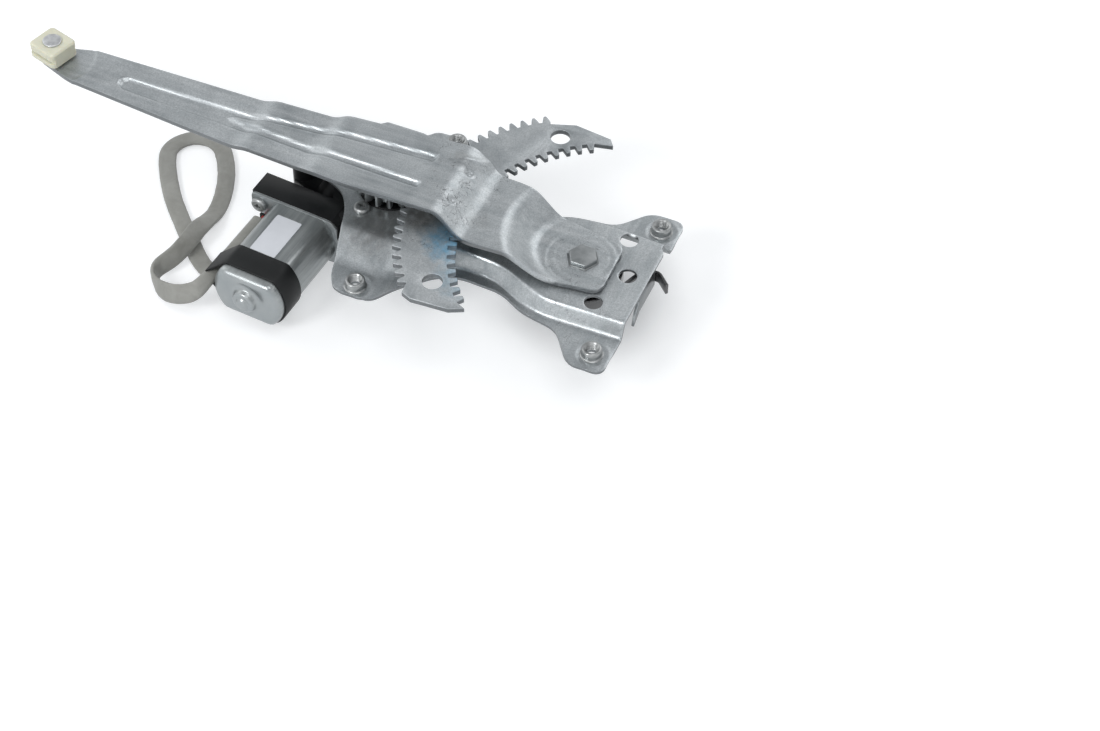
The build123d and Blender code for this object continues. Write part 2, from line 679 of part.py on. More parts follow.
# Gear housing: a drum round the worm wheel, a tube round the worm and three ears
flange_half = can_flat + flange_edge
flange_wide = can_r + flange_side
flange_outline = [
    (-can_r - flange_ear, flange_half), (-can_r - flange_ear, 1.5), (-flange_wide, 1.5),
    (-flange_wide, 3.3 - flange_half), (3.5 - flange_wide, -flange_half), (flange_wide - 3.5, -flange_half),
    (flange_wide + 0.5, 1.8 - flange_half), (can_r + flange_low_ear, 1.8 - flange_half),
    (can_r + flange_low_ear, -1), (flange_wide, 2), (flange_wide, flange_half - 3.3),
    (flange_wide - 3.5, flange_half),
]
flange_screws = [(-can_r - screw_beside_can, 8.0), (can_r + low_screw_beside_can, -6.8)]
brush_from = motor_from - brush_space
block_from = brush_from - 5
bearing_from = brush_from - bearing_length
with BuildPart() as gear_housing:
    with BuildSketch(unit_plane(housing_bottom_z)):
        Circle(drum_r)
    extrude(amount=housing_top_z - housing_bottom_z)
    with BuildSketch(unit_plane(housing_top_z)):
        Circle(boss_ring_r)
    extrude(amount=floor_top + boss_rise - housing_top_z)
    with BuildSketch(unit_plane(housing_top_z)):
        with PolarLocations(plate_screw_at_r, 3, start_angle=plate_screw_angle):
            Circle(screw_head_r + 1)
    extrude(amount=floor_height - housing_top_z)
    with BuildSketch(unit_plane(ear_z)):
        with Locations(*ear_places):
            Circle(ear_r)
    extrude(amount=floor_height - ear_z)
    with BuildSketch(unit_plane(ear_z + 1.5)):
        with BuildLine():
            Polyline((-33, -15), (-53, -9.2), (-56.8, -3), (-54, 12), (-48, 16), (-33, 25), close=True)
        make_face()
        with BuildLine():
            Polyline((-18, 22), (-10.6, 36), (-2, 40), (1.2, 35.5), (12, 26), close=True)
        make_face()
    extrude(amount=4)
    with BuildSketch(turned_plane):
        with BuildLine():
            Polyline(
                (-tube_nose, 0), (block_from, 0), (block_from, tube_r), (4 - tube_nose, tube_r),
                (-tube_nose, tube_r - 4), close=True,
            )
        make_face()
    revolve(axis=motor_axis)
    with BuildSketch(motor_plane(block_from)):
        with BuildLine():
            Polyline(*flange_outline, close=True)
        make_face()
    extrude(amount=motor_from - block_from)
    # Room for the cover, which overlaps the motor's side of the housing
    with BuildSketch(unit_plane(housing_bottom_z + cover_rim + fit_gap)):
        Circle(cover_r + slide_gap)
        Circle(drum_r, mode=Mode.SUBTRACT)
    extrude(amount=-4 * cover_rim, mode=Mode.SUBTRACT)
    with BuildSketch(unit_plane(housing_bottom_z)):
        Circle(cover_r + slide_gap)
    extrude(amount=-4 * cover_rim, mode=Mode.SUBTRACT)
    # The wheel's space, the worm's bore, the brush space and the bearing seats
    with BuildSketch(unit_plane(housing_bottom_z)):
        Circle(drum_bore_r)
    extrude(amount=wheel_top_z + fit_gap + slide_gap - housing_bottom_z, mode=Mode.SUBTRACT)
    with BuildSketch(unit_plane(wheel_bottom_z)):
        Circle(output_shaft_r + running_gap)
    extrude(amount=2 * floor_top - wheel_bottom_z, mode=Mode.SUBTRACT)
    with BuildSketch(turned_plane):
        with BuildLine():
            Polyline(
                (4 - tube_nose, 0), (4 - tube_nose, bearing_r), (4 - tube_nose + bearing_length, bearing_r),
                (4 - tube_nose + bearing_length, worm_bore_r), (bearing_from, worm_bore_r),
                (bearing_from, bearing_r), (brush_from, bearing_r), (brush_from, brush_space_r - 2.5),
                (motor_from, brush_space_r - 2.5), (motor_from, 0), close=True,
            )
        make_face()
    revolve(axis=motor_axis, mode=Mode.SUBTRACT)
    with BuildSketch(unit_plane(ear_z)):
        with Locations(*ear_places):
            Circle(screw_r)
    extrude(amount=floor_height - ear_z, mode=Mode.SUBTRACT)
    with BuildSketch(unit_plane(0)):
        with PolarLocations(plate_screw_at_r, 3, start_angle=plate_screw_angle):
            Circle(screw_r)
    extrude(amount=floor_height, mode=Mode.SUBTRACT)
    with BuildSketch(motor_plane(motor_from)):
        with Locations(*flange_screws):
            Circle(screw_r)
    extrude(amount=-flange_screw_depth, mode=Mode.SUBTRACT)
gear_housing.part.label = "gear_housing"
export_step(gear_housing.part, "parts/gear_housing.step")

# Zinc cover pressed over the drum, with six embosses
with BuildPart() as housing_cover:
    with BuildSketch(unit_plane(housing_bottom_z)):
        Circle(cover_r)
    extrude(amount=cover_rim)
    with BuildSketch(unit_plane(housing_bottom_z)):
        Circle(drum_r)
    extrude(amount=cover_rim, mode=Mode.SUBTRACT)
    with BuildSketch(unit_plane(housing_bottom_z)):
        Circle(cover_r)
    extrude(amount=-cover_sheet)
    chamfer(housing_cover.edges().group_by(Axis.Z)[0], 0.6 * cover_sheet)
    with BuildSketch(unit_plane(housing_bottom_z - cover_sheet)):
        with PolarLocations(0, 6, start_angle=12):
            Polygon((8.5, 0), (21.5, -9.0), (24.4, -4.5), (25.2, 0), (24.4, 4.5), (21.5, 9.0), align=None)
    extrude(amount=-cover_emboss, taper=25)
    with BuildSketch(unit_plane(housing_bottom_z)):
        Circle(1.8)
    extrude(amount=-2 * cover_sheet, mode=Mode.SUBTRACT)
housing_cover.part.label = "housing_cover"
export_step(housing_cover.part, "parts/housing_cover.step")

# Screws: three from above through the plate, two from below through the ears
with BuildPart() as gearbox_screws:
    with BuildSketch(unit_plane(floor_top)):
        with PolarLocations(plate_screw_at_r, 3, start_angle=plate_screw_angle):
            Circle(screw_head_r)
    extrude(amount=screw_head)
    chamfer(gearbox_screws.edges().group_by(Axis.Z)[-1], 0.4 * screw_head)
    with BuildSketch(unit_plane(0)):
        with PolarLocations(plate_screw_at_r, 3, start_angle=plate_screw_angle):
            Circle(screw_r)
    extrude(amount=floor_top)
    with BuildSketch(unit_plane(ear_z)):
        with Locations(*ear_places[1:]):
            Circle(screw_head_r)
    extrude(amount=-screw_head)
    chamfer(gearbox_screws.edges().group_by(Axis.Z)[0], 0.4 * screw_head)
    with BuildSketch(unit_plane(ear_z)):
        with Locations(*ear_places[1:]):
            Circle(screw_r)
    extrude(amount=floor_top - ear_z)
gearbox_screws.part.label = "gearbox_screws"
export_step(gearbox_screws.part, "parts/gearbox_screws.step")

# Rivet in the ear nearest the motor
with BuildPart() as ear_rivet:
    with BuildSketch(unit_plane(ear_z)):
        with Locations(ear_places[0]):
            Circle(screw_head_r - 0.6)
    extrude(amount=-1)
    chamfer(ear_rivet.edges().group_by(Axis.Z)[0], 0.4)
    with BuildSketch(unit_plane(ear_z)):
        with Locations(ear_places[0]):
            Circle(screw_r)
    extrude(amount=floor_top - ear_z)
    with BuildSketch(unit_plane(floor_top)):
        with Locations(ear_places[0]):
            Circle(screw_head_r - 0.6)
    extrude(amount=1)
ear_rivet.part.label = "ear_rivet"
export_step(ear_rivet.part, "parts/ear_rivet.step")

# Output shaft with the pinion that drives the sector
pinion_tip_r = pinion_pitch_r + gear_module
pinion_root_r = pinion_pitch_r - 1.25 * gear_module
gap_count = round((radians(pinion_angle) - first_tooth) / tooth_turn - 0.5)
gap_angle = first_tooth + (gap_count + 0.5) * tooth_turn
gap_turn = gap_angle - radians(pinion_angle)
pinion_phase = radians(pinion_angle) + pi - gap_turn * sector_full_teeth / pinion_teeth
pinion_points = []
for tooth in range(pinion_teeth):
    middle = pinion_phase - radians(unit_turn) + tooth * 2 * pi / pinion_teeth
    flank = tooth_flank(pinion_teeth, pinion_tip_r, pinion_root_r, 5)
    pinion_points += [around(radius, middle - half) for radius, half in flank]
    pinion_points += [around(radius, middle + half) for radius, half in reversed(flank)]
with BuildPart() as output_pinion:
    with BuildSketch(unit_plane(pinion_z)):
        with BuildLine():
            Polyline(*pinion_points, close=True)
        make_face()
    extrude(amount=pinion_width)
    with BuildSketch(unit_plane(housing_bottom_z + fit_gap)):
        Circle(output_shaft_r)
    extrude(amount=pinion_z + pinion_width + 1 - housing_bottom_z)
output_pinion.part.label = "output_pinion"
export_step(output_pinion.part, "parts/output_pinion.step")

# Worm wheel: a toothed cup with three vanes that push on the rubber damper
cup_floor_z = wheel_bottom_z + 2
cup_r = wheel_pitch_r - worm_depth - 2.5
wheel_root_r = wheel_pitch_r - 1.1 * worm_depth
wheel_points = []
for tooth in range(wheel_teeth):
    middle = pi + (tooth + 0.5) * 2 * pi / wheel_teeth
    half = wheel_tooth / 2 / wheel_pitch_r
    flare = worm_depth * tan(radians(pressure_angle)) / wheel_pitch_r
    root_half, tip_half = half + flare, half - flare
    wheel_points += [around(wheel_root_r, middle - root_half), around(wheel_tip_r, middle - tip_half)]
    wheel_points += [around(wheel_tip_r, middle + tip_half), around(wheel_root_r, middle + root_half)]
with BuildPart() as worm_wheel:
    with BuildSketch(unit_plane(wheel_bottom_z)):
        with BuildLine():
            Polyline(*wheel_points, close=True)
        make_face()
    extrude(amount=wheel_width)
    with BuildSketch(unit_plane(cup_floor_z)):
        Circle(cup_r)
    extrude(amount=wheel_width, mode=Mode.SUBTRACT)
    with BuildSketch(unit_plane(housing_bottom_z + slide_gap)):
        Circle(wheel_hub_r)
    extrude(amount=wheel_top_z - 4 - housing_bottom_z)
    with BuildSketch(unit_plane(cup_floor_z)):
        with PolarLocations((cup_r + damper_first_r + 3) / 2, vane_count):
            Rectangle(cup_r - damper_first_r - 3 + 0.2, vane_thick)
    extrude(amount=wheel_width - 5.2)
    with BuildSketch(unit_plane(housing_bottom_z)):
        Circle(output_shaft_r + running_gap)
    extrude(amount=wheel_width * 2, mode=Mode.SUBTRACT)
worm_wheel.part.label = "worm_wheel"
export_step(worm_wheel.part, "parts/worm_wheel.step")

# Rubber damper between the wheel's vanes and the drive plate's fingers
damper_r = cup_r - slide_gap
with BuildPart() as damper:
    with BuildSketch(unit_plane(cup_floor_z + slide_gap)):
        Circle(damper_r)
        Circle(damper_first_r, mode=Mode.SUBTRACT)
        with PolarLocations((damper_r + damper_first_r + 2.5) / 2 + 1, 2 * vane_count):
            Rectangle(damper_r - damper_first_r - 2.5 + 2, vane_thick + 2 * slide_gap, mode=Mode.SUBTRACT)
    extrude(amount=wheel_width - 6)
damper.part.label = "damper"
export_step(damper.part, "parts/damper.step")

drive_z = cup_floor_z + wheel_width - 5
with BuildPart() as drive_plate:
    with BuildSketch(unit_plane(drive_z)):
        Circle(damper_r - 1.5)
    extrude(amount=wheel_top_z - 0.2 - drive_z)
    with BuildSketch(unit_plane(drive_z)):
        with PolarLocations((damper_r + damper_first_r + 2) / 2, vane_count, start_angle=180 / vane_count):
            Rectangle(damper_r - damper_first_r - 6, vane_thick)
    extrude(amount=-3.8)
    with BuildSketch(unit_plane(drive_z)):
        Circle(output_shaft_r)
    extrude(amount=wheel_width, mode=Mode.SUBTRACT)
drive_plate.part.label = "drive_plate"
export_step(drive_plate.part, "parts/drive_plate.step")

# Motor can: drawn with a double-D section, a flange and a round end boss
with BuildPart() as motor_can:
    with BuildSketch(motor_plane(motor_from)):
        Circle(can_r)
        Rectangle(2 * can_r, 2 * can_flat, mode=Mode.INTERSECT)
    extrude(amount=can_length)
    fillet(motor_can.faces().sort_by(motor_axis)[-1].edges(), can_round)
    with BuildSketch(motor_plane(motor_from + can_length)):
        Circle(end_boss_r)
    extrude(amount=end_boss_length)
    fillet(motor_can.faces().sort_by(motor_axis)[-1].edges(), 1.5)
    with BuildSketch(motor_plane(motor_from)):
        with BuildLine():
            Polyline(*flange_outline, close=True)
        make_face()
        with Locations(*flange_screws):
            Circle(screw_r, mode=Mode.SUBTRACT)
    extrude(amount=flange_sheet)
    with BuildSketch(motor_plane(motor_from)):
        Circle(can_r - can_wall)
        Rectangle(2 * can_r, 2 * (can_flat - can_wall), mode=Mode.INTERSECT)
    extrude(amount=can_length - can_wall, mode=Mode.SUBTRACT)
    with BuildSketch(motor_plane(motor_from + can_length - can_wall)):
        Circle(end_boss_r - 1.2)
    extrude(amount=end_boss_length, mode=Mode.SUBTRACT)
motor_can.part.label = "motor_can"
export_step(motor_can.part, "parts/motor_can.step")

with BuildPart() as motor_screws:
    with BuildSketch(motor_plane(motor_from + flange_sheet)):
        with Locations(*flange_screws):
            Circle(screw_head_r)
    extrude(amount=screw_head)
    chamfer(motor_screws.edges().group_by(motor_axis)[-1], 0.4 * screw_head)
    with BuildSketch(motor_plane(motor_from + flange_sheet)):
        with Locations(*flange_screws):
            Circle(screw_r)
    extrude(amount=-flange_screw_depth - flange_sheet)
motor_screws.part.label = "motor_screws"
export_step(motor_screws.part, "parts/motor_screws.step")

# Bearings of the armature: in the can's boss, in front of the brushes and at the worm's nose
rear_bearing_from = motor_from + can_length - can_wall
with BuildPart() as rear_bearing:
    with BuildSketch(turned_plane):
        bearing_middle_r = (shaft_r + end_boss_r - 1.2 + running_gap) / 2
        with Locations((rear_bearing_from + end_boss_length / 2, bearing_middle_r)):
            Rectangle(end_boss_length - 0.4, end_boss_r - 1.2 - shaft_r - running_gap)
    revolve(axis=motor_axis)
rear_bearing.part.label = "rear_bearing"
export_step(rear_bearing.part, "parts/rear_bearing.step")

with BuildPart() as front_bearing:
    with BuildSketch(turned_plane):
        with Locations((brush_from - bearing_length / 2, (shaft_r + bearing_r + running_gap) / 2)):
            Rectangle(bearing_length, bearing_r - shaft_r - running_gap)
    revolve(axis=motor_axis)
front_bearing.part.label = "front_bearing"
export_step(front_bearing.part, "parts/front_bearing.step")

with BuildPart() as nose_bearing:
    with BuildSketch(turned_plane):
        with Locations((4 - tube_nose + bearing_length / 2, (shaft_r + bearing_r + running_gap) / 2)):
            Rectangle(bearing_length, bearing_r - shaft_r - running_gap)
    revolve(axis=motor_axis)
nose_bearing.part.label = "nose_bearing"
export_step(nose_bearing.part, "parts/nose_bearing.step")

# Worm on the motor shaft
worm_root_r = worm_pitch_r - 1.1 * worm_depth
worm_half = worm_turns * worm_pitch / 2
shaft_end = rear_bearing_from + end_boss_length - 0.4
with BuildPart() as worm_shaft:
    with BuildSketch(turned_plane):
        with BuildLine():
            Polyline(
                (4.3 - tube_nose, 0), (4.3 - tube_nose, shaft_r), (-worm_half - 2, shaft_r),
                (-worm_half - 1, worm_root_r), (worm_half + 1, worm_root_r), (worm_half + 2, shaft_r),
                (shaft_end, shaft_r), (shaft_end, 0), close=True,
            )
        make_face()
    revolve(axis=motor_axis)
worm_shaft.part.label = "worm_shaft"
export_step(worm_shaft.part, "parts/worm_shaft.step")

# Armature core with eight slots, its windings and the commutator
armature_r = can_flat - can_wall - armature_gap
winding_r = (armature_r - winding_inset - shaft_r - winding_over_shaft) / 2
winding_at_r = (armature_r - winding_inset + shaft_r + winding_over_shaft) / 2
winding_out = winding_r + 0.1
stack_start = motor_from + commutator_length + commutator_gap + 2 * winding_r
with BuildPart() as armature_core:
    with BuildSketch(motor_plane(stack_start)):
        Circle(armature_r)
        with PolarLocations(armature_r - armature_slot / 2 + 0.1, 8):
            Rectangle(armature_slot, 1.8, mode=Mode.SUBTRACT)
        Circle(shaft_r, mode=Mode.SUBTRACT)
    extrude(amount=armature_stack)
armature_core.part.label = "armature_core"
export_step(armature_core.part, "parts/armature_core.step")

with BuildPart() as windings:
    with BuildSketch(turned_plane):
        with Locations(
            (stack_start - winding_out, winding_at_r),
            (stack_start + armature_stack + winding_out, winding_at_r),
        ):
            RegularPolygon(winding_r, 8)
    revolve(axis=motor_axis)
windings.part.label = "windings"
export_step(windings.part, "parts/windings.step")

with BuildPart() as commutator:
    with BuildSketch(turned_plane):
        with BuildLine():
            Polyline(
                (brush_from + 0.5, shaft_r), (brush_from + 0.5, commutator_r),
                (motor_from + commutator_length - 2, commutator_r),
                (motor_from + commutator_length - 2, commutator_r + 1),
                (motor_from + commutator_length, commutator_r + 1),
                (motor_from + commutator_length, shaft_r), close=True,
            )
        make_face()
    revolve(axis=motor_axis)
commutator.part.label = "commutator"
export_step(commutator.part, "parts/commutator.step")

# Magnets: two arcs on the can's round walls
magnet_out_r = can_r - can_wall
with BuildPart() as magnets:
    with BuildSketch(motor_plane(stack_start - 4)):
        Circle(magnet_out_r)
        Circle(armature_r + magnet_gap, mode=Mode.SUBTRACT)
        Rectangle(2 * can_r, 2 * (can_flat - can_wall) - 1, mode=Mode.INTERSECT)
    extrude(amount=armature_stack + 8)
magnets.part.label = "magnets"
export_step(magnets.part, "parts/magnets.step")

# Brush holder and the two brushes
holder_r = brush_space_r - 2.5
with BuildPart() as brush_holder:
    with BuildSketch(motor_plane(brush_from + 1)):
        Circle(holder_r)
        Circle(commutator_r + 1, mode=Mode.SUBTRACT)
        Rectangle(4.6, 2 * holder_r + 2, mode=Mode.SUBTRACT)
    extrude(amount=brush_space - 2)
    with BuildSketch(motor_plane(brush_from + 1)):
        Circle(holder_r)
        Circle(commutator_r + 1, mode=Mode.SUBTRACT)
    extrude(amount=1)
brush_holder.part.label = "brush_holder"
export_step(brush_holder.part, "parts/brush_holder.step")

with BuildPart() as brushes:
    with BuildSketch(motor_plane(brush_from + 2.2)):
        with Locations((0, commutator_r + 2.9), (0, -commutator_r - 2.9)):
            Rectangle(4.4, 5)
        Circle(commutator_r + fit_gap, mode=Mode.SUBTRACT)
    extrude(amount=brush_space - 4)
brushes.part.label = "brushes"
export_step(brushes.part, "parts/brushes.step")

# Strap round the can's end, with a loop that holds the lead
sleeve_side = -can_r - sleeve_r - sleeve_beside_can
with BuildPart() as cable_strap:
    with BuildSketch(motor_plane(motor_from + can_length - strap_from_end)):
        Circle(can_r + strap_thick)
        Rectangle(2 * can_r + 4, 2 * (can_flat + strap_thick), mode=Mode.INTERSECT)
        with Locations((sleeve_side, sleeve_height)):
            Circle(sleeve_r + fit_gap + strap_thick)
        with Locations(((sleeve_side - can_r) / 2, sleeve_height)):
            Rectangle(can_r + sleeve_side, 2 * sleeve_r + strap_thick)
        with Locations((sleeve_side, sleeve_height)):
            Circle(sleeve_r + fit_gap, mode=Mode.SUBTRACT)
        with BuildSketch(mode=Mode.SUBTRACT):
            Circle(can_r)
            Rectangle(2 * can_r, 2 * can_flat, mode=Mode.INTERSECT)
    extrude(amount=strap_width)
cable_strap.part.label = "cable_strap"
export_step(cable_strap.part, "parts/cable_strap.step")

# Grommet beside the flange, and the two wires that go from it into the sleeve
sleeve_from = motor_from + 6
with BuildPart() as wire_grommet:
    with BuildSketch(motor_plane(motor_from - 4)):
        with Locations((sleeve_side, sleeve_height - 0.8)):
            RectangleRounded(5.0, 7.0, 1.2)
    extrude(amount=5.5)
wire_grommet.part.label = "wire_grommet"
export_step(wire_grommet.part, "parts/wire_grommet.step")

with BuildPart() as wire_red:
    with BuildSketch(motor_plane(motor_from + 1.5)):
        with Locations((sleeve_side, sleeve_height + 1)):
            Circle(0.9)
    extrude(amount=sleeve_from - motor_from - 1.5)
wire_red.part.label = "wire_red"
export_step(wire_red.part, "parts/wire_red.step")

with BuildPart() as wire_blue:
    with BuildSketch(motor_plane(motor_from + 1.5)):
        with Locations((sleeve_side, sleeve_height - 1)):
            Circle(0.9)
    extrude(amount=sleeve_from - motor_from - 1.5)
wire_blue.part.label = "wire_blue"
export_step(wire_blue.part, "parts/wire_blue.step")

# Lead: along the can, through the strap, round a loop beside the motor and back under it to the plug
low = table_centre_z
lead_points = [
    motor_plane(sleeve_from).from_local_coords((sleeve_side, sleeve_height, 0)),
    motor_plane(motor_from + can_length + 0.5).from_local_coords((sleeve_side, sleeve_height, 0)),
    (-179, -83, -16.5), (-190.5, -84.5, -22.5), (-202, -78, low + 1.5), (-206.5, -65.5, low + 3.5),
    (-203.2, -53, low + 5.5), (-200.8, -43, low + 7), (-200.6, -28, low + 7), (-201.6, -10, low),
    (-204.5, 4, low), (-210, 17.5, low), (-216.2, 27.9, low), (-222.7, 35.6, low), (-232, 38.3, low),
    (-241.2, 34.9, low), (-246.7, 26.9, low), (-246.3, 17.1, low), (-230, -6.5, low), (-216.8, -20.4, low),
    (-203.4, -33.3, low), (-191.5, -44.8, low), (-176, -52, low), (-160, -44, low), (-149, -22, low),
    (-149, 4, low), (-157, 27, low),
]
plug_at = Vector(-164, 46, low)
lead_route = [Vector(*point) for point in lead_points] + [plug_at]
lead_radii = []
for before, here, after in zip(lead_route, lead_route[1:], lead_route[2:]):
    turn = radians((here - before).get_angle(after - here))
    shorter = min((here - before).length, (after - here).length)
    lead_radii.append(0.45 * shorter / tan(turn / 2))
with BuildPart() as lead_sleeve:
    with BuildLine() as lead_path:
        FilletPolyline(*lead_route, radius=lead_radii)
    with BuildSketch(motor_plane(sleeve_from)):
        with Locations((sleeve_side, sleeve_height)):
            Circle(sleeve_r)
    sweep(path=lead_path.wires()[0])
lead_sleeve.part.label = "lead_sleeve"
export_step(lead_sleeve.part, "parts/lead_sleeve.step")

# Plug at the lead's end, with two terminal cavities and a latch
plug_dir = (lead_route[-1] - lead_route[-2]).normalized()
plug_plane = Plane(origin=plug_at, x_dir=(-plug_dir.Y, plug_dir.X, 0), z_dir=plug_dir)
plug_middle = (0, connector_height / 2 - sleeve_r)
cavities = [(-terminal_gap / 2, plug_middle[1]), (terminal_gap / 2, plug_middle[1])]
with BuildPart() as connector_shell:
    with BuildSketch(plug_plane):
        with Locations(plug_middle):
            Rectangle(connector_width, connector_height)
    extrude(amount=connector_length)
    with BuildSketch(plug_plane.offset(connector_length * 0.45)):
        with Locations((0, plug_middle[1] + connector_height / 2 + 0.9)):
            Rectangle(connector_width * 0.45, 1.8)
    extrude(amount=connector_length * 0.4)
    with BuildSketch(plug_plane.offset(connector_length)):
        with Locations(*cavities):
            Rectangle(3.2, 3.6)
    extrude(amount=-connector_length * 0.7, mode=Mode.SUBTRACT)
connector_shell.part.label = "connector_shell"
export_step(connector_shell.part, "parts/connector_shell.step")

with BuildPart() as connector_terminals:
    with BuildSketch(plug_plane.offset(connector_length * 0.3)):
        with Locations(*cavities):
            Rectangle(2.0, 0.8)
    extrude(amount=connector_length * 0.55)
connector_terminals.part.label = "connector_terminals"
export_step(connector_terminals.part, "parts/connector_terminals.step")
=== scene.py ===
from math import atan2, cos, hypot, pi, radians, sin

import bmesh
import bpy
import numpy as np
from mathutils import Matrix, Vector, noise
from mathutils.geometry import delaunay_2d_cdt


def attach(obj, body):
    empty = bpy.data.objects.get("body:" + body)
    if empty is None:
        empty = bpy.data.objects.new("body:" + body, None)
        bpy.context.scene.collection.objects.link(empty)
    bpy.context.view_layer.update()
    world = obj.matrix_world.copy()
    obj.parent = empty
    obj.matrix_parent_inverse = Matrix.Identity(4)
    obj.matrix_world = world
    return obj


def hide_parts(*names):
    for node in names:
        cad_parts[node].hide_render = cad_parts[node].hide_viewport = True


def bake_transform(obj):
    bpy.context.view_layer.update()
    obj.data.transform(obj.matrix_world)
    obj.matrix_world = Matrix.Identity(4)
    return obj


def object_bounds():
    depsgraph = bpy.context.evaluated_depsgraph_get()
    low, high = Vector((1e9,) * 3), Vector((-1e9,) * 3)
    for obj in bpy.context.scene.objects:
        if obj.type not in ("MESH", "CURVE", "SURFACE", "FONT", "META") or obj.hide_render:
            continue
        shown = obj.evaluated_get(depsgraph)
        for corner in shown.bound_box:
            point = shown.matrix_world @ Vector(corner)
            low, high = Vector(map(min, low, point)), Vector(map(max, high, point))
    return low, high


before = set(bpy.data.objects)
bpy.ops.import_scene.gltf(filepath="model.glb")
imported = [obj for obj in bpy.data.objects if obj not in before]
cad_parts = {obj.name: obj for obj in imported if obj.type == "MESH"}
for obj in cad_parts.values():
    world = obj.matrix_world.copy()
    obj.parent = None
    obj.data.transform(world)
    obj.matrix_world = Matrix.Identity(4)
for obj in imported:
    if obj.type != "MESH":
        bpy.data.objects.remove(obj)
cadBox = [list(corner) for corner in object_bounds()]
scene = bpy.context.scene
mm = 0.001


# placing: the gear unit sits turned on the plate, and the motor's axis lies in it
unit = dict(centre=(-107.888, 9.439), turn=radians(-4.5), wormOffset=34.5, axisHeight=-10.0)


def onUnit(x, y):
    c, s = cos(unit["turn"]), sin(unit["turn"])
    return unit["centre"][0] + c * x - s * y, unit["centre"][1] + s * x + c * y


def onMotor(side, up, along):
    x, y = onUnit(side - unit["wormOffset"], -along)
    return Vector((x, y, unit["axisHeight"] + up))


# mesh helpers
def linked(name, data):
    piece = bpy.data.objects.new(name, data)
    scene.collection.objects.link(piece)
    return piece


def newPiece(name, points, faces, smooth=True):
    mesh = bpy.data.meshes.new(name)
    mesh.from_pydata([Vector(p) * mm for p in points], [], faces)
    mesh.validate()
    if smooth:
        mesh.shade_smooth()
    return linked(name, mesh)


def evaluatedMesh(piece):
    bpy.context.view_layer.update()
    graph = bpy.context.evaluated_depsgraph_get()
    return bpy.data.meshes.new_from_object(piece.evaluated_get(graph))


def bake(piece):
    # turns the evaluated shape into a plain mesh; a curve gives way to a mesh of its name
    mesh, name = evaluatedMesh(piece), piece.name
    mesh.name = name
    if piece.type == "MESH":
        piece.modifiers.clear()
        piece.data = mesh
        return piece
    bpy.data.objects.remove(piece)
    return linked(name, mesh)


def mended(piece, mergeWithin=0.0, flatWithin=0.0):
    # close doubles merged, flat faces joined and all faces turned outwards
    work = bmesh.new()
    work.from_mesh(piece.data)
    if mergeWithin:
        bmesh.ops.remove_doubles(work, verts=work.verts, dist=mergeWithin * mm)
    if flatWithin:
        bmesh.ops.dissolve_limit(work, angle_limit=radians(flatWithin), verts=work.verts, edges=work.edges)
    bmesh.ops.recalc_face_normals(work, faces=work.faces)
    work.to_mesh(piece.data)
    work.free()
    return piece


def softenEdges(piece, width, angle=32, segments=2):
    bevel = piece.modifiers.new("edges", "BEVEL")
    bevel.width = width * mm
    bevel.segments = segments
    bevel.limit_method = "ANGLE"
    bevel.angle_limit = radians(angle)
    return bake(piece)


def shadeByAngle(piece, angle=38):
    piece.data.shade_smooth()
    piece.data.set_sharp_from_angle(angle=radians(angle))
    return piece


def coloured(piece, material):
    piece.data.materials.clear()
    piece.data.materials.append(material)


def finish(piece, body, material, slot, *nodes):
    coloured(piece, material)
    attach(piece, body)
    if nodes:
        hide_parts(*nodes)
    return piece


def dressed(node, name, width, segments=2):
    # a merged copy of a CAD node with its edges broken
    piece = mended(linked(name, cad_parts[node].data.copy()), 0.004, 1.5)
    piece.data.materials.clear()
    return shadeByAngle(softenEdges(piece, width, segments=segments))


def roundedOutline(points, radius, steps=6):
    # the same outline with an arc at each corner
    done = []
    count = len(points)
    for index in range(count):
        before, here, after = (Vector(points[(index + k) % count]) for k in (-1, 0, 1))
        first, second = before - here, after - here
        reach = min(radius, 0.45 * first.length, 0.45 * second.length)
        start, end = here + first.normalized() * reach, here + second.normalized() * reach
        for step in range(steps + 1):
            t = step / steps
            done.append(tuple(start * (1 - t) ** 2 + here * 2 * t * (1 - t) + end * t ** 2))
    return done


def evenSteps(points, spacing):
    # a closed outline walked in equal steps, without points nearly on one another
    ring = [Vector(p) for p in points]
    walked = []
    for here, after in zip(ring, ring[1:] + ring[:1]):
        length = (after - here).length
        if length > 1e-6:
            count = max(1, round(length / spacing))
            walked += [here.lerp(after, step / count) for step in range(count)]
    kept = [walked[0]]
    for point in walked[1:]:
        if (point - kept[-1]).length > 0.45 * spacing:
            kept.append(point)
    return [tuple(p) for p in kept]


def insideBy(x, y, outline):
    # distance to an outline, positive inside it
    ring = np.array(outline, float)
    ahead = np.roll(ring, -1, axis=0)
    nearest = np.full(x.shape, 1e9)
    inside = np.zeros(x.shape, bool)
    for (ax, ay), (bx, by) in zip(ring, ahead):
        dx, dy = bx - ax, by - ay
        along = np.clip(((x - ax) * dx + (y - ay) * dy) / (dx * dx + dy * dy + 1e-12), 0, 1)
        nearest = np.minimum(nearest, np.hypot(x - ax - along * dx, y - ay - along * dy))
        crosses = ((ay > y) != (by > y)) & (x < dx * (y - ay) / (by - ay + 1e-12) + ax)
        inside ^= crosses
    return np.where(inside, nearest, -nearest)


def ease(t):
    t = np.clip(t, 0, 1)
    return t * t * (3 - 2 * t)


def circle(centre, radius, count):
    turns = [2 * pi * i / count for i in range(count)]
    return [(centre[0] + radius * cos(a), centre[1] + radius * sin(a)) for a in turns]


def ringOf(centre, radius, spacing):
    return circle(centre, radius, max(16, round(2 * pi * radius / spacing)))


# spacing of the points in a pressed sheet, as shares of its cell, and its broken rim
sheetMesh = dict(rowHeight=0.866, holeCell=0.9, borderGap=0.55, holeGap=0.5, rim=0.25, rimAngle=55)


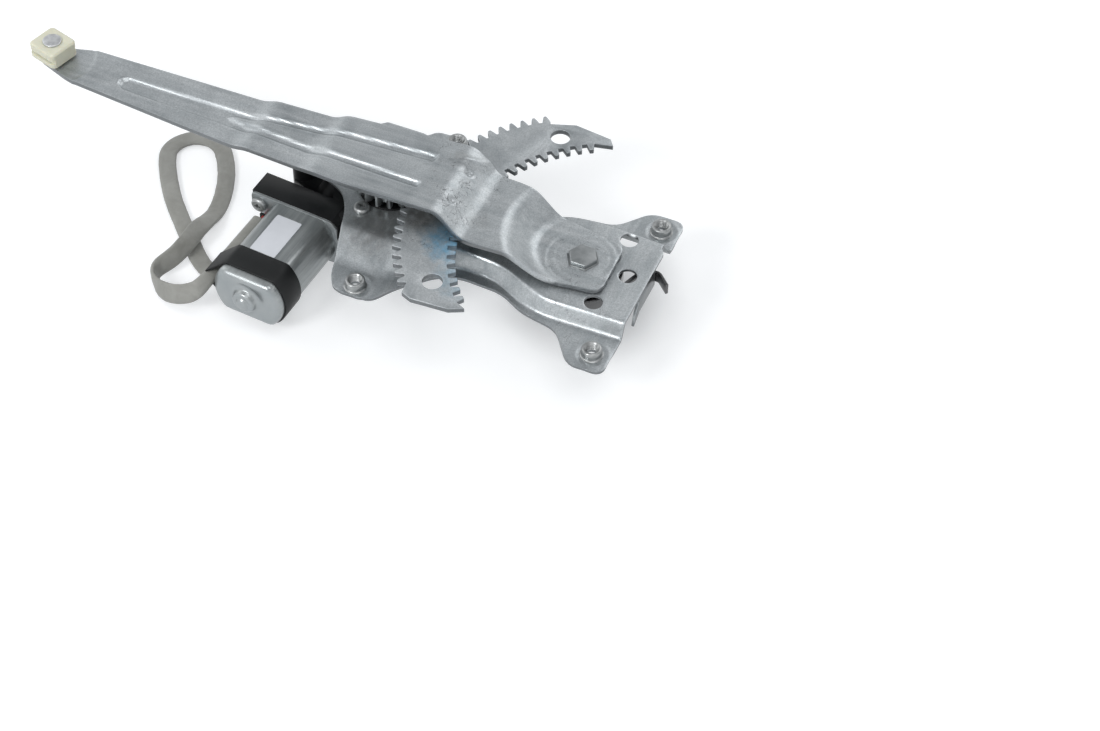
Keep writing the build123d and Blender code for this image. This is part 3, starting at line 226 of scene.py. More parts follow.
def pressedSheet(name, outline, holes, height, sheet, cell):
    # sheet metal from an outline, its holes and the height of its upper face
    border = evenSteps(outline, cell)
    rings = [evenSteps(hole, min(cell, sheetMesh["holeCell"])) for hole in holes]
    low, high = np.min(border, axis=0), np.max(border, axis=0)
    rowGap = sheetMesh["rowHeight"]
    rows = int((high[1] - low[1]) / (cell * rowGap)) + 1
    columns = int((high[0] - low[0]) / cell) + 1
    grid = [
        (low[0] + (column + 0.5 * (row % 2)) * cell, low[1] + row * cell * rowGap)
        for row in range(rows) for column in range(columns)
    ]
    x, y = np.array(grid).T
    keep = insideBy(x, y, border) > sheetMesh["borderGap"] * cell
    for ring in rings:
        keep &= insideBy(x, y, ring) < -sheetMesh["holeGap"] * cell
    points, edges = [], []
    for ring in [border] + rings:
        start = len(points)
        points += ring
        edges += [(start + i, start + (i + 1) % len(ring)) for i in range(len(ring))]
    points += [grid[i] for i in np.nonzero(keep)[0]]
    flat, _, faces, _, _, _ = delaunay_2d_cdt([Vector(p) for p in points], edges, [], 1, 1e-5)
    place = np.array([tuple(p) for p in flat])
    centre = np.array([place[list(face)].mean(axis=0) for face in faces])
    solid = np.ones(len(faces), bool)
    for ring in rings:
        solid &= insideBy(centre[:, 0], centre[:, 1], ring) < 0
    z = height(place[:, 0], place[:, 1])
    piece = newPiece(name, np.column_stack([place, z]), [face for face, there in zip(faces, solid) if there])
    wall = piece.modifiers.new("sheet", "SOLIDIFY")
    wall.thickness = sheet * mm
    wall.offset = -1
    wall.use_even_offset = True
    return softenEdges(bake(piece), sheetMesh["rim"], sheetMesh["rimAngle"])


def tubeFaces(rings, count, capped=True):
    # quads between rings of points, and a face over each end
    faces = []
    for here in range(0, (rings - 1) * count, count):
        for step in range(count):
            ahead = (step + 1) % count
            faces.append((here + step, here + ahead, here + count + ahead, here + count + step))
    if capped:
        faces.append(tuple(range(count))[::-1])
        faces.append(tuple((rings - 1) * count + step for step in range(count)))
    return faces


def lathe(profile, steps=40, capped=True):
    # (radius, height) pairs turned round Z, as points and faces
    points = [(x, y, z) for radius, z in profile for x, y in circle((0, 0), radius, steps)]
    return points, tubeFaces(len(profile), steps, capped)


def lofted(name, loops, capped=True):
    points = [p for loop in loops for p in loop]
    return mended(newPiece(name, points, tubeFaces(len(loops), len(loops[0]), capped)))


def slab(name, corners, origin, side, up, thick):
    # a flat shape given in its own plane, extruded along that plane's normal
    normal = Vector(side).cross(Vector(up)).normalized()
    near = [Vector(origin) + Vector(side) * a + Vector(up) * b for a, b in corners]
    far = [p + normal * thick for p in near]
    count = len(near)
    faces = [tuple(range(count))[::-1], tuple(range(count, 2 * count))]
    faces += [(i, (i + 1) % count, count + (i + 1) % count, count + i) for i in range(count)]
    return newPiece(name, near + far, faces, False)


# materials
def feed(tree, socket, value):
    # another node's socket, a number, a vector or a colour into an input
    if isinstance(value, bpy.types.NodeSocket):
        tree.links.new(value, socket)
    elif socket.type == "RGBA" and len(value) == 3:
        socket.default_value = (*value, 1)
    else:
        socket.default_value = value


def add(tree, kind, **values):
    # a node with its inputs and settings by name, laid out in rows of ten
    node = tree.nodes.new(kind)
    row, column = divmod(len(tree.nodes), 10)
    node.location = (200 * column - 2200, -320 * row)
    for key, value in values.items():
        if key in node.inputs:
            feed(tree, node.inputs[key], value)
        else:
            setattr(node, key, value)
    return node


def wire(tree, *links):
    # each link is a node, its output, the next node and its input
    for source, output, target, given in links:
        tree.links.new(source.outputs[output], target.inputs[given])


def newMaterial(name, metallic=0.0, coat=0.0, sheen=0.0, specular=0.5):
    material = bpy.data.materials.new(name)
    material.use_nodes = True
    tree = material.node_tree
    shader = tree.nodes["Principled BSDF"]
    weights = {"Metallic": metallic, "Coat Weight": coat, "Sheen Weight": sheen, "Specular IOR Level": specular}
    for socket, value in weights.items():
        shader.inputs[socket].default_value = value
    return material, tree, shader, add(tree, "ShaderNodeTexCoord").outputs["Object"]


def stretched(tree, where, scale, turn=0.0, shift=(0, 0, 0), kind="POINT"):
    # a pattern's own coordinates, turned about Z
    mapping = add(
        tree, "ShaderNodeMapping", vector_type=kind, Vector=where, Scale=scale, Rotation=(0, 0, turn),
        Location=shift,
    )
    return mapping.outputs["Vector"]


def grain(tree, where, scale, detail=4.0, roughness=0.55, distortion=0.0):
    texture = add(
        tree, "ShaderNodeTexNoise", Vector=where, Scale=scale, Detail=detail, Roughness=roughness,
        Distortion=distortion,
    )
    return texture.outputs["Fac"]


def ranged(tree, value, low=0.3, high=0.7, toLow=0.0, toHigh=1.0):
    ends = {"From Min": low, "From Max": high, "To Min": toLow, "To Max": toHigh}
    return add(tree, "ShaderNodeMapRange", Value=value, **ends).outputs["Result"]


def maths(tree, operation, first, second=0.5):
    node = add(tree, "ShaderNodeMath", operation=operation)
    feed(tree, node.inputs[0], first)
    feed(tree, node.inputs[1], second)
    return node.outputs[0]


def blend(tree, amount, first, second, way="MIX"):
    mix = add(tree, "ShaderNodeMix", data_type="RGBA", blend_type=way)
    sockets = [s for s in mix.inputs if s.name in ("A", "B") and s.type == "RGBA"]
    factor = [s for s in mix.inputs if s.name == "Factor" and s.type == "VALUE"][0]
    for socket, value in ((factor, amount), (sockets[0], first), (sockets[1], second)):
        feed(tree, socket, value)
    return [s for s in mix.outputs if s.type == "RGBA"][0]


def both(tree, first, second):
    return blend(tree, 1.0, first, second, "MULTIPLY")


def relief(tree, shader, height, strength, distance):
    bump = add(tree, "ShaderNodeBump", Height=height, Strength=strength, Distance=distance * mm)
    last = shader.inputs["Normal"].links
    if last:
        tree.links.new(last[0].from_socket, bump.inputs["Normal"])
    tree.links.new(bump.outputs["Normal"], shader.inputs["Normal"])


def painted(tree, shader, colour, roughness):
    feed(tree, shader.inputs["Base Color"], colour)
    feed(tree, shader.inputs["Roughness"], roughness)


def gapTo(tree, where, point):
    gap = add(tree, "ShaderNodeVectorMath", operation="DISTANCE", Vector=where)
    gap.inputs[1].default_value = point
    return gap.outputs["Value"]


def nearPoint(tree, where, point, reach):
    # 1 at a point and 0 beyond its reach
    return ranged(tree, gapTo(tree, where, Vector(point) * mm), 0.0, reach * mm, 1.0, 0.0)


def facing(tree, axis):
    # how far the surface's own normal points along an axis
    normal = add(tree, "ShaderNodeTexCoord").outputs["Normal"]
    share = add(tree, "ShaderNodeVectorMath", operation="DOT_PRODUCT", Vector=normal)
    share.inputs[1].default_value = axis
    return share.outputs["Value"]


# thin scratches: noise scale and shift of each layer, line width, and the noise that breaks them up
scratches = dict(
    layers=[(60.0, (0, 0, 0)), (95.0, (3, 1, 2)), (150.0, (7, 5, 1))], turn=0.6, distortion=1.2,
    line=(0.001, 0.007, 0.75, 0.0), breaks=120.0, breakRange=(0.4, 0.58),
)


def scribbles(tree, where):
    # wandering scratches: the level lines of a distorted noise
    total = None
    for scale, shift in scratches["layers"]:
        turned = stretched(tree, where, (scale, scale, scale), scratches["turn"], shift)
        waves = grain(tree, turned, 1.0, 2.5, 0.6, scratches["distortion"])
        level = maths(tree, "ABSOLUTE", maths(tree, "SUBTRACT", waves, 0.5))
        thin = ranged(tree, level, *scratches["line"])
        broken = ranged(tree, grain(tree, where, scratches["breaks"], 3.0), *scratches["breakRange"])
        marks = both(tree, thin, broken)
        total = marks if total is None else blend(tree, 1.0, total, marks, "LIGHTEN")
    return total


def zincSheet(name, look, marks=(), scuffs=()):
    # galvanised sheet: rolled streaks, soft cloudy patches, stains and painted shadows, scratches, and painted
    # shade on steep faces along with the cut edges' own darker tone
    material, tree, shader, where = newMaterial(name, look["metallic"])
    streaks = grain(tree, stretched(tree, where, look["streak"]), 1.0, 6.0, 0.6)
    clouds = grain(tree, where, look["cloud"], 5.0, 0.62, 0.4)
    base = blend(tree, ranged(tree, clouds), look["dark"], look["light"])
    base = blend(tree, ranged(tree, streaks, *look["streakRange"]), base, look["streakColour"])
    for point, reach, colour, amount in marks:
        ragged = both(tree, nearPoint(tree, where, point, reach), grain(tree, where, look["blotch"], 3.0))
        base = blend(tree, ranged(tree, ragged, *look["blotchRange"], 0.0, amount), base, colour)
    fine = grain(tree, where, look["fine"], 3.0, 0.7)
    base = blend(tree, ranged(tree, fine, *look["fineRange"]), base, look["fineColour"])
    worn = scribbles(tree, where)
    for point, reach in scuffs:
        scuffed = both(tree, ranged(tree, nearPoint(tree, where, point, reach), 0.0, 0.5), worn)
        base = blend(tree, scuffed, base, look["scratchColour"])
        relief(tree, shader, scuffed, 0.5, -0.06)
    base = blend(tree, ranged(tree, worn, 0.0, 1.0, 0.0, look["scratchMix"]), base, look["scratchColour"])
    # painted shade: faces standing steep to the sheet are darkened, steep walls and cut edges alike
    steep = maths(tree, "ABSOLUTE", facing(tree, (0, 0, 1)))
    base = blend(tree, ranged(tree, steep, *look["steepShadeRange"]), base, look["steepShadeColour"])
    painted(tree, shader, base, ranged(tree, clouds, 0.25, 0.75, *look["rough"]))
    relief(tree, shader, streaks, 0.2, 0.04)
    relief(tree, shader, fine, 0.5, 0.035)
    return material


sheetZinc = dict(
    metallic=0.78, streak=(25, 330, 330), cloud=38.0, dark=(0.33, 0.36, 0.375), light=(0.52, 0.55, 0.565),
    streakRange=(0.35, 0.65, 0.0, 0.45), streakColour=(0.66, 0.68, 0.69), rough=(0.27, 0.46),
    fine=1500.0, fineRange=(0.35, 0.7, 0.0, 0.6), fineColour=(0.2, 0.22, 0.23),
    blotch=260.0, blotchRange=(0.12, 0.42), scratchMix=0.14, scratchColour=(0.12, 0.125, 0.13),
    steepShadeRange=(0.12, 0.4, 0.7, 0.0), steepShadeColour=(0.09, 0.095, 0.1),
)
plateLook = dict(sheetZinc, streak=(300, 30, 330), cloud=30.0)
sectorLook = dict(
    sheetZinc, streak=(60, 60, 60), cloud=60.0, dark=(0.32, 0.345, 0.36), light=(0.45, 0.475, 0.49),
    rough=(0.38, 0.55),
)
# the burn colour marks the welds and also serves as a painted shadow on the sector
weldBurnAndShade, sliderShadow, plateDarkPatch = (0.12, 0.11, 0.10), (0.2, 0.19, 0.15), (0.16, 0.15, 0.14)
blueTint, paleTint = (0.16, 0.36, 0.52), (0.3, 0.42, 0.5)
# stains and painted shadows are (place, reach, colour, amount) and scuffs (place, reach)
armStainsAndShadow = [
    ((-67.6, 14.1, 25), 7, weldBurnAndShade, 0.8), ((-67.8, -7.1, 25), 5, weldBurnAndShade, 0.75),
    ((-75, 20, 33), 9, weldBurnAndShade, 0.35), ((-66, 26, 27), 7, weldBurnAndShade, 0.35),
    # the dark mark at the arm's tip is a painted shadow under the slider block
    ((-52, -8, 25), 11, weldBurnAndShade, 0.22), ((-298.9, 6.3, 29), 15, sliderShadow, 0.5),
]
sectorStainsAndShadow = [
    ((-58, -22, 22.3), 26, blueTint, 1.0), ((-46, -46, 22.3), 20, paleTint, 0.8),
    # the dark mark at (-80, -14) is a painted shadow under the arm's lower edge
    ((-80, -14, 22.3), 16, weldBurnAndShade, 0.8),
]
armScuffs = [((-70, 12, 30), 34), ((-66, -8, 26), 20), ((0, 0, 13), 24)]
armZinc = zincSheet("armZinc", sheetZinc, armStainsAndShadow, armScuffs)
# a darker patch on the plate beside the gear housing, below the arm's edge
plateZinc = zincSheet("plateZinc", plateLook, [((-104, -20, 9), 26, plateDarkPatch, 0.6)], [((5, -30, 9), 26)])
sectorZinc = zincSheet("sectorZinc", sectorLook, sectorStainsAndShadow, [((-72, -20, 22), 22)])


def turnedMetal(name, dark, light, metallic=0.9, rough=(0.25, 0.45), scale=120.0):
    material, tree, shader, where = newMaterial(name, metallic)
    patches = grain(tree, where, scale, 5.0, 0.6)
    colour = blend(tree, ranged(tree, patches), dark, light)
    painted(tree, shader, colour, ranged(tree, patches, 0.3, 0.7, *rough))
    relief(tree, shader, grain(tree, where, scale * 9, 3.0), 0.25, 0.03)
    return material


fastenerZinc = turnedMetal("fastenerZinc", (0.24, 0.25, 0.25), (0.42, 0.43, 0.43), 0.9, (0.26, 0.42), 200.0)
studZinc = turnedMetal("studZinc", (0.42, 0.43, 0.44), (0.66, 0.67, 0.68), 0.9, (0.35, 0.5), 350.0)
pinSteel = turnedMetal("pinSteel", (0.22, 0.235, 0.24), (0.34, 0.355, 0.36), 0.9, (0.32, 0.5), 160.0)
coverZinc = turnedMetal("coverZinc", (0.33, 0.35, 0.385), (0.42, 0.44, 0.475), 0.7, (0.38, 0.5), 90.0)
bronzeBush = turnedMetal("bronzeBush", (0.3, 0.17, 0.07), (0.45, 0.28, 0.12), scale=400.0)
copperWire = turnedMetal("copperWire", (0.5, 0.2, 0.09), (0.72, 0.34, 0.17), scale=500.0)
carbonBlock = turnedMetal("carbonBlock", (0.02, 0.02, 0.02), (0.05, 0.05, 0.05), 0.2, (0.5, 0.7), 700.0)
ferriteBlock = turnedMetal("ferriteBlock", (0.05, 0.05, 0.055), (0.09, 0.09, 0.095), 0.3, (0.5, 0.7), 300.0)


# drawn steel can: streaks along the motor's axis, a cloudy zinc flash and a plainer closed end
canLook = dict(
    metallic=0.85, streak=(1 / 420, 1 / 18, 1 / 420), cloud=70.0, dark=(0.23, 0.25, 0.255),
    light=(0.42, 0.44, 0.44), cloudColour=(0.44, 0.46, 0.46), endDark=(0.3, 0.325, 0.335),
    endLight=(0.36, 0.38, 0.385), endRange=(0.25, 0.7), rough=(0.28, 0.42),
)


def canSteel(look):
    material, tree, shader, where = newMaterial("canSteel", look["metallic"])
    along = stretched(tree, where, look["streak"], unit["turn"], kind="TEXTURE")
    streaks = grain(tree, along, 1.0, 6.0, 0.62)
    clouds = grain(tree, where, look["cloud"], 5.0, 0.6)
    base = blend(tree, ranged(tree, streaks, 0.32, 0.68), look["dark"], look["light"])
    base = blend(tree, ranged(tree, clouds, 0.4, 0.75, 0.0, 0.4), base, look["cloudColour"])
    towardsEnd = facing(tree, (sin(unit["turn"]), -cos(unit["turn"]), 0))
    onEnd = ranged(tree, towardsEnd, *look["endRange"])
    base = blend(tree, onEnd, base, blend(tree, ranged(tree, clouds), look["endDark"], look["endLight"]))
    painted(tree, shader, base, ranged(tree, clouds, 0.3, 0.7, *look["rough"]))
    relief(tree, shader, blend(tree, onEnd, streaks, (0.5, 0.5, 0.5)), 0.3, 0.04)
    relief(tree, shader, grain(tree, where, 1200.0, 3.0), 0.2, 0.02)
    return material


def moulded(name, dark, light, rough, specular=0.5, scatter=0.0, scale=700.0, relieved=0.3, coat=0.0):
    # moulded plastic or rubber: fine grain with faint cloudiness
    material, tree, shader, where = newMaterial(name, 0.0, coat, specular=specular)
    clouds = grain(tree, where, 55.0, 4.0, 0.6)
    colour = blend(tree, ranged(tree, clouds), dark, light)
    painted(tree, shader, colour, ranged(tree, clouds, 0.3, 0.7, *rough))
    if scatter:
        shader.inputs["Subsurface Weight"].default_value = scatter
        shader.inputs["Subsurface Radius"].default_value = (0.004, 0.003, 0.002)
        shader.inputs["Subsurface Scale"].default_value = 0.6
    relief(tree, shader, grain(tree, where, scale, 3.0, 0.6), relieved, 0.06)
    return material


motorSteel = canSteel(canLook)
housingPlastic = moulded("housingPlastic", (0.004, 0.0045, 0.005), (0.009, 0.0095, 0.01), (0.3, 0.45), 0.4)
strapRubber = moulded(
    "strapRubber", (0.004, 0.005, 0.0055), (0.008, 0.009, 0.0095), (0.42, 0.55), 0.3, scale=900.0,
)
damperRubber = moulded("damperRubber", (0.02, 0.02, 0.02), (0.04, 0.04, 0.04), (0.6, 0.8))
sliderNylon = moulded(
    "sliderNylon", (0.6, 0.595, 0.47), (0.7, 0.69, 0.56), (0.35, 0.5), scatter=0.25, relieved=0.15,
)
plugNylon = moulded("plugNylon", (0.5, 0.56, 0.43), (0.6, 0.66, 0.53), (0.3, 0.42), scatter=0.3, relieved=0.12)
springSteel = moulded(
    "springSteel", (0.006, 0.006, 0.007), (0.02, 0.02, 0.022), (0.14, 0.34), 0.8, scale=260.0, relieved=0.5,
    coat=0.6,
)
labelPaper = moulded(
    "labelPaper", (0.6, 0.62, 0.66), (0.66, 0.68, 0.72), (0.3, 0.36), scale=400.0, relieved=0.05,
)
redSheath = moulded("redSheath", (0.45, 0.03, 0.03), (0.55, 0.05, 0.04), (0.35, 0.45))
blueSheath = moulded("blueSheath", (0.05, 0.12, 0.4), (0.07, 0.16, 0.5), (0.35, 0.45))
inkBlue = moulded("inkBlue", (0.02, 0.06, 0.4), (0.03, 0.09, 0.5), (0.4, 0.5))


def sleeveVinyl():
    # limp grey sleeve, darker along its crease pattern
    material, tree, shader, where = newMaterial("sleeveVinyl", 0.0, sheen=0.12)
    clouds = grain(tree, where, 90.0, 5.0, 0.62, 0.5)
    creases = grain(tree, stretched(tree, where, (330, 330, 120)), 1.0, 4.0, 0.6, 0.6)
    base = blend(tree, ranged(tree, clouds), (0.235, 0.235, 0.215), (0.32, 0.32, 0.3))
    base = blend(tree, ranged(tree, creases, 0.6, 0.8, 0.0, 0.35), base, (0.2, 0.2, 0.185))
    painted(tree, shader, base, ranged(tree, clouds, 0.3, 0.7, 0.42, 0.58))
    relief(tree, shader, creases, 0.35, 0.25)
    return material


greyVinyl = sleeveVinyl()
print("materials made")

# the lead: part.py's route, flattened sleeve standing on its edge in the fold and lying flat in the loop
lead = dict(
    route=[
        (-168.31, -22.92, -9.6), (-172.7, -72, -10), (-178.2, -76.8, -15.5), (-190, -76.8, -21.5),
        (-202, -72.5, -25), (-208.3, -63, -25), (-203.2, -53, -23.8), (-200.8, -43, -22.3),
        (-200.6, -28, -22.3), (-201.6, -10, -30.8), (-204.5, 4, -30.8), (-210, 17.5, -30.8),
        (-216.2, 27.9, -30.8), (-222.7, 35.6, -30.8), (-232, 38.3, -30.8), (-241.2, 34.9, -30.8),
        (-246.7, 26.9, -30.8), (-246.3, 17.1, -30.8), (-230, -6.5, -30.8), (-216.8, -20.4, -30.8),
        (-203.4, -33.3, -30.8), (-191.5, -44.8, -30.8), (-176, -52, -30.8), (-160, -44, -30.8),
        (-149, -22, -30.8), (-149, 4, -30.8), (-157, 27, -30), (-164, 46, -29.3),
    ],
    # share of the length, width, thickness, roll in degrees
    shape=[
        (0, 6.4, 6, 0), (0.09, 6.6, 6, 20), (0.11, 8.2, 4.6, 45), (0.13, 10.2, 2.9, 62), (0.165, 10.6, 2.8, 70),
        (0.195, 10.4, 2.8, 95), (0.23, 10.2, 2.9, 120), (0.27, 9.8, 3, 140), (0.31, 9.5, 3.1, 176),
        (0.34, 9.4, 3.1, 180), (0.8, 9.4, 3.1, 180), (0.97, 8.6, 3.2, 180), (1, 7, 4.6, 180),
    ],
    crumple=0.3, creases=(190, 520), steps=26, square=(0.8, 0.75), flatFrom=0.13, flatRun=0.05,
)


def routeLine(name, route):
    curve = bpy.data.curves.new(name, "CURVE")
    curve.dimensions = "3D"
    curve.resolution_u = 16
    spline = curve.splines.new("NURBS")
    spline.points.add(len(route) - 1)
    for point, place in zip(spline.points, route):
        point.co = (*(Vector(place) * mm), 1)
    spline.order_u = 3
    spline.use_endpoint_u = True
    holder = linked(name, curve)
    line = [vertex.co.copy() for vertex in evaluatedMesh(holder).vertices]
    bpy.data.objects.remove(holder)
    return line


def squared(turn, power):
    # a sine or cosine pushed out towards a square section
    return abs(turn) ** power * (1 if turn > 0 else -1)


def sweptSleeve():
    line = routeLine("leadLine", lead["route"])
    run = [0.0]
    for here, after in zip(line, line[1:]):
        run.append(run[-1] + (after - here).length)
    shares, widths, depths, rolls = zip(*lead["shape"])
    points, steps = [], lead["steps"]
    for index, place in enumerate(line):
        share = run[index] / run[-1]
        width, thick, roll = (np.interp(share, shares, values) for values in (widths, depths, rolls))
        along = (line[min(index + 1, len(line) - 1)] - line[max(index - 1, 0)]).normalized()
        level = along.cross(Vector((0, 0, 1))).normalized()
        upright = level.cross(along).normalized()
        wide = level * cos(radians(roll)) + upright * sin(radians(roll))
        thin = along.cross(wide).normalized()
        flat = min(1.0, max(0.0, (share - lead["flatFrom"]) / lead["flatRun"]))
        for a, b in circle((0, 0), 1, steps):
            broad = noise.noise(Vector((run[index] * lead["creases"][0], 1.7 * a, 1.7 * b)))
            fine = noise.noise(Vector((run[index] * lead["creases"][1], 3 * a, 3 * b + 7)))
            rough = lead["crumple"] * (broad + 0.5 * fine) * flat
            across = 0.5 * width * squared(a, lead["square"][0]) + 0.5 * rough
            over = 0.5 * thick * squared(b, lead["square"][1])
            over += rough * (1 if b > 0 else -1) * min(1.0, abs(b) * 2)
            points.append(place / mm + wide * across + thin * over)
    piece = newPiece("leadSleeve", points, tubeFaces(len(line), steps))
    return shadeByAngle(mended(piece), 60), line, run[-1]


sleeve, leadLine, leadLength = sweptSleeve()
finish(sleeve, "frame", greyVinyl, "grey_sleeve", "lead_sleeve")
print("lead", round(leadLength, 4), "m")

# connector on the lead's end
plug = finish(dressed("connector_shell", "plugShell", 0.45), "frame", plugNylon, "nylon", "connector_shell")

# camera, from the solved viewpoint of the photograph
shot = dict(
    place=(0.325026, -0.825841, 0.940762), right=(0.917333, 0.397822, 0.015412),
    down=(0.307953, -0.684506, -0.660769), ahead=(-0.252319, 0.610892, -0.750431), lens=85.693,
)
cameraData = bpy.data.cameras.new("shot")
cameraData.lens = shot["lens"]
cameraData.sensor_width = 36
cameraData.clip_end = 10
camera = linked("shot", cameraData)
facingShot = Matrix([(shot["right"][i], -shot["down"][i], -shot["ahead"][i]) for i in range(3)])
camera.matrix_world = Matrix.Translation(shot["place"]) @ facingShot.to_4x4()
scene.camera = camera

# lift arm: one pressing with joggles, a forked channel and a sunk end at the pivot
arm = dict(
    sheet=2.5, cell=1.05, corner=7.0,
    outline=[
        (12.2, -17.4), (16.3, -13.9), (15.8, 12.9), (13.7, 16.4), (-20.5, 22), (-44.2, 25), (-53.9, 25.1),
        (-68.4, 30.3), (-139.4, 24.4), (-145, 22.4), (-178, 21.2), (-184, 20.5), (-282.3, 18.7), (-291.5, 15.8),
        (-305.6, 12.4), (-306.1, 2.3), (-286.4, -5), (-281.3, -6.2), (-210, -12.7), (-184, -14.8),
        (-178, -15.4), (-145, -17.2), (-139, -18.9), (-123, -20.1), (-66.4, -18.8), (-54.2, -23.4),
        (-24.6, -21.9),
    ],
    channel=[
        (-86, -7), (-86, 17.5), (-147, 13), (-183, 9), (-256, 7.8), (-258.8, 5.5), (-258.8, 1.6), (-255, -0.7),
        (-200, -2.4), (-148, -5.6),
    ],
    land=[
        (-80, -3.6), (-80, 13.4), (-148.5, 9.6), (-184, 6.1), (-193.5, 5.2), (-196.5, 3.6), (-193.5, 2),
        (-185, 0.8), (-148, -1.8),
    ],
    levels=[
        (-400, 29.6), (-184, 29.6), (-178, 31.8), (-145, 31.8), (-139, 34), (-71, 34), (-57, 24.8), (60, 24.8),
    ],
    pad=dict(centre=(0, 5.4), near=27.0, far=40.0, z=12.95, low=24.8),
    channelDepth=1.9, wallRun=2.2, bends=[-3.0, -1.5, 0.0, 1.5, 3.0],
    # stamped rings round the pivot as radius and depth, and the disc at the tip
    rings=[(17.4, 0.26), (13.4, 0.12), (20.8, 0.09)], ringCentre=(0, 0.6), ringWidth=0.55,
    tip=dict(centre=(-298.9, 6.3), radius=20.5, run=1.4, depth=0.35),
    # darts beside the sector: place, turn, length, breadth, height
    darts=[
        (-71, 20.5, 0.35, 7.5, 2.6, 1.3), (-63.5, 26.2, 0.9, 6.5, 2.3, 1.1), (-70, -8, -0.25, 6, 1.8, 0.5),
    ],
    # weld pits and punch marks: place, radius, depth
    pits=[(-67.6, 14.1, 1.7, 1.3), (-67.8, -7.1, 1.6, 1.4), (-87, 12, 1.2, 0.15), (-52, 6, 1.5, 0.2)],
)


def bent(value, knots, levels, bends):
    # a broken line with its corners rounded
    return sum(np.interp(value + bend, knots, levels) for bend in bends) / len(bends)


def armHeight(x, y):
    pad, tip, wall, bends = arm["pad"], arm["tip"], arm["wallRun"], arm["bends"]
    z = bent(x, *zip(*arm["levels"]), bends)
    away = np.hypot(x - pad["centre"][0], y - pad["centre"][1])
    padLevels = [pad["z"], pad["z"], pad["low"], pad["low"]]
    z = z + bent(away, [0, pad["near"], pad["far"], 999], padLevels, bends) - pad["low"]
    inChannel, onLand = (ease((insideBy(x, y, arm[part]) + 0.4 * wall) / wall) for part in ("channel", "land"))
    z -= arm["channelDepth"] * inChannel * (1 - onLand)
    away = np.hypot(x - arm["ringCentre"][0], y - arm["ringCentre"][1])
    for radius, depth in arm["rings"]:
        z -= depth * np.exp(-((away - radius) / arm["ringWidth"]) ** 2)
    away = np.hypot(x - tip["centre"][0], y - tip["centre"][1])
    z -= tip["depth"] * (1 - ease((away - tip["radius"]) / tip["run"]))
    for cx, cy, turn, length, breadth, tall in arm["darts"]:
        u = (x - cx) * cos(turn) + (y - cy) * sin(turn)
        v = -(x - cx) * sin(turn) + (y - cy) * cos(turn)
        z += tall * np.exp(-(u / length) ** 2 - (v / breadth) ** 2)
    for cx, cy, radius, depth in arm["pits"]:
        z -= depth * np.exp(-(np.hypot(x - cx, y - cy) / radius) ** 4)
    return z


armOutline = roundedOutline(arm["outline"], arm["corner"])
stampedArm = pressedSheet("stampedArm", armOutline, [], armHeight, arm["sheet"], arm["cell"])
finish(stampedArm, "arm", armZinc, "zinc_steel", "lift_arm")
print("arm", len(stampedArm.data.polygons))

# base plate: lugs in one plane, the floor raised between them, and a tab for the spring
plate = dict(
    sheet=1.6, cell=1.0, corner=6.0, lug=1.6, rise=8.2, soften=0.8, stepCorner=9,
    bends=[-0.13, -0.065, 0, 0.065, 0.13],
    outline=[
        (-113, -51), (-107.5, -59.2), (-88, -59.2), (-79.6, -45.5), (-64.5, -30.3), (-54, -26.4),
        (-31.5, -27.4), (-17.5, -35.2), (2.5, -38.8), (15.5, -56.8), (34, -56.8), (34, 22.6), (31.8, 24.8),
        (31.8, 29.2), (34, 31.4), (34, 53.6), (15.5, 53.6), (2.5, 37.8), (-19, 35.2), (-31.5, 29.8), (-53, 31),
        (-61, 35), (-87, 64), (-108, 62.8), (-112, 57.5), (-124, 57), (-142, 41), (-164, 33), (-164, 3),
        (-145, 3), (-129, -4), (-122, -16),
    ],
    foot=[
        (-185, -38.5), (-86, -40.8), (-70, -24.6), (-57, -19.8), (-36, -20.6), (-20, -29), (-8, -32.4),
        (50, -31), (50, 31.4), (3, 32.6), (-14, 32), (-29, 26), (-46, 25.2), (-60, 26.8), (-81, 42.5),
        (-103, 51.5), (-107, 55.3), (-185, 55.3),
    ],
    head=[
        (-185, -23), (-92, -25.5), (-73, -16.5), (-58, -17), (-36, -18), (-19, -26.2), (-7.4, -29.8),
        (50, -28.6), (50, 29), (3.4, 30), (-13.2, 29.4), (-28, 23.4), (-46, 22.6), (-62, 22), (-84, 33.5),
        (-102.5, 46), (-107.5, 52.3), (-185, 52.3),
    ],
    nuts=[(-98.5, -52.8), (24.6, -46.6), (24.6, 43.4), (-94.2, 57.3)],
    lightening=[(15.0, 23.9), (23.6, 1.0), (14.9, -21.9), (-30.9, -8.1), (-30.8, 12.8)],
    service=[(-66.0, -6.0), (-62.0, 12.0)],
    # the sheet stands up a little round each weld nut
    nutRing=dict(radius=8.2, run=1.1, tall=0.25),
    tab=[(12, 9.0), (12, -2.3), (-8, -2.3), (-15, -6.5), (-13, 0.7), (-9, 5.2), (-9, 9.0)], tabAt=32.4,
)
# the gear unit's screws on their circle and the ears that hold it, about its own centre
gearUnit = dict(
    screwCircle=21.7, screwAngles=(-104.7, 15.3, 135.3), ears=[(-51.0, -3.5), (-48.6, 10.0), (-7.5, 34.2)],
    screwSeat=9.8, earSeat=-8.0,
)


def plateHeight(x, y):
    soften, bends, nutRing = plate["soften"], plate["bends"], plate["nutRing"]
    fromFoot = insideBy(x, y, roundedOutline(plate["foot"], plate["stepCorner"])) + soften
    toHead = soften - insideBy(x, y, roundedOutline(plate["head"], plate["stepCorner"]))
    climb = fromFoot / np.maximum(fromFoot + toHead, 0.5)
    z = plate["lug"] + plate["rise"] * sum(np.clip(climb + bend, 0, 1) for bend in bends) / len(bends)
    for nut in plate["nuts"]:
        away = np.hypot(x - nut[0], y - nut[1])
        z += nutRing["tall"] * np.exp(-((away - nutRing["radius"]) / nutRing["run"]) ** 2)
    return z


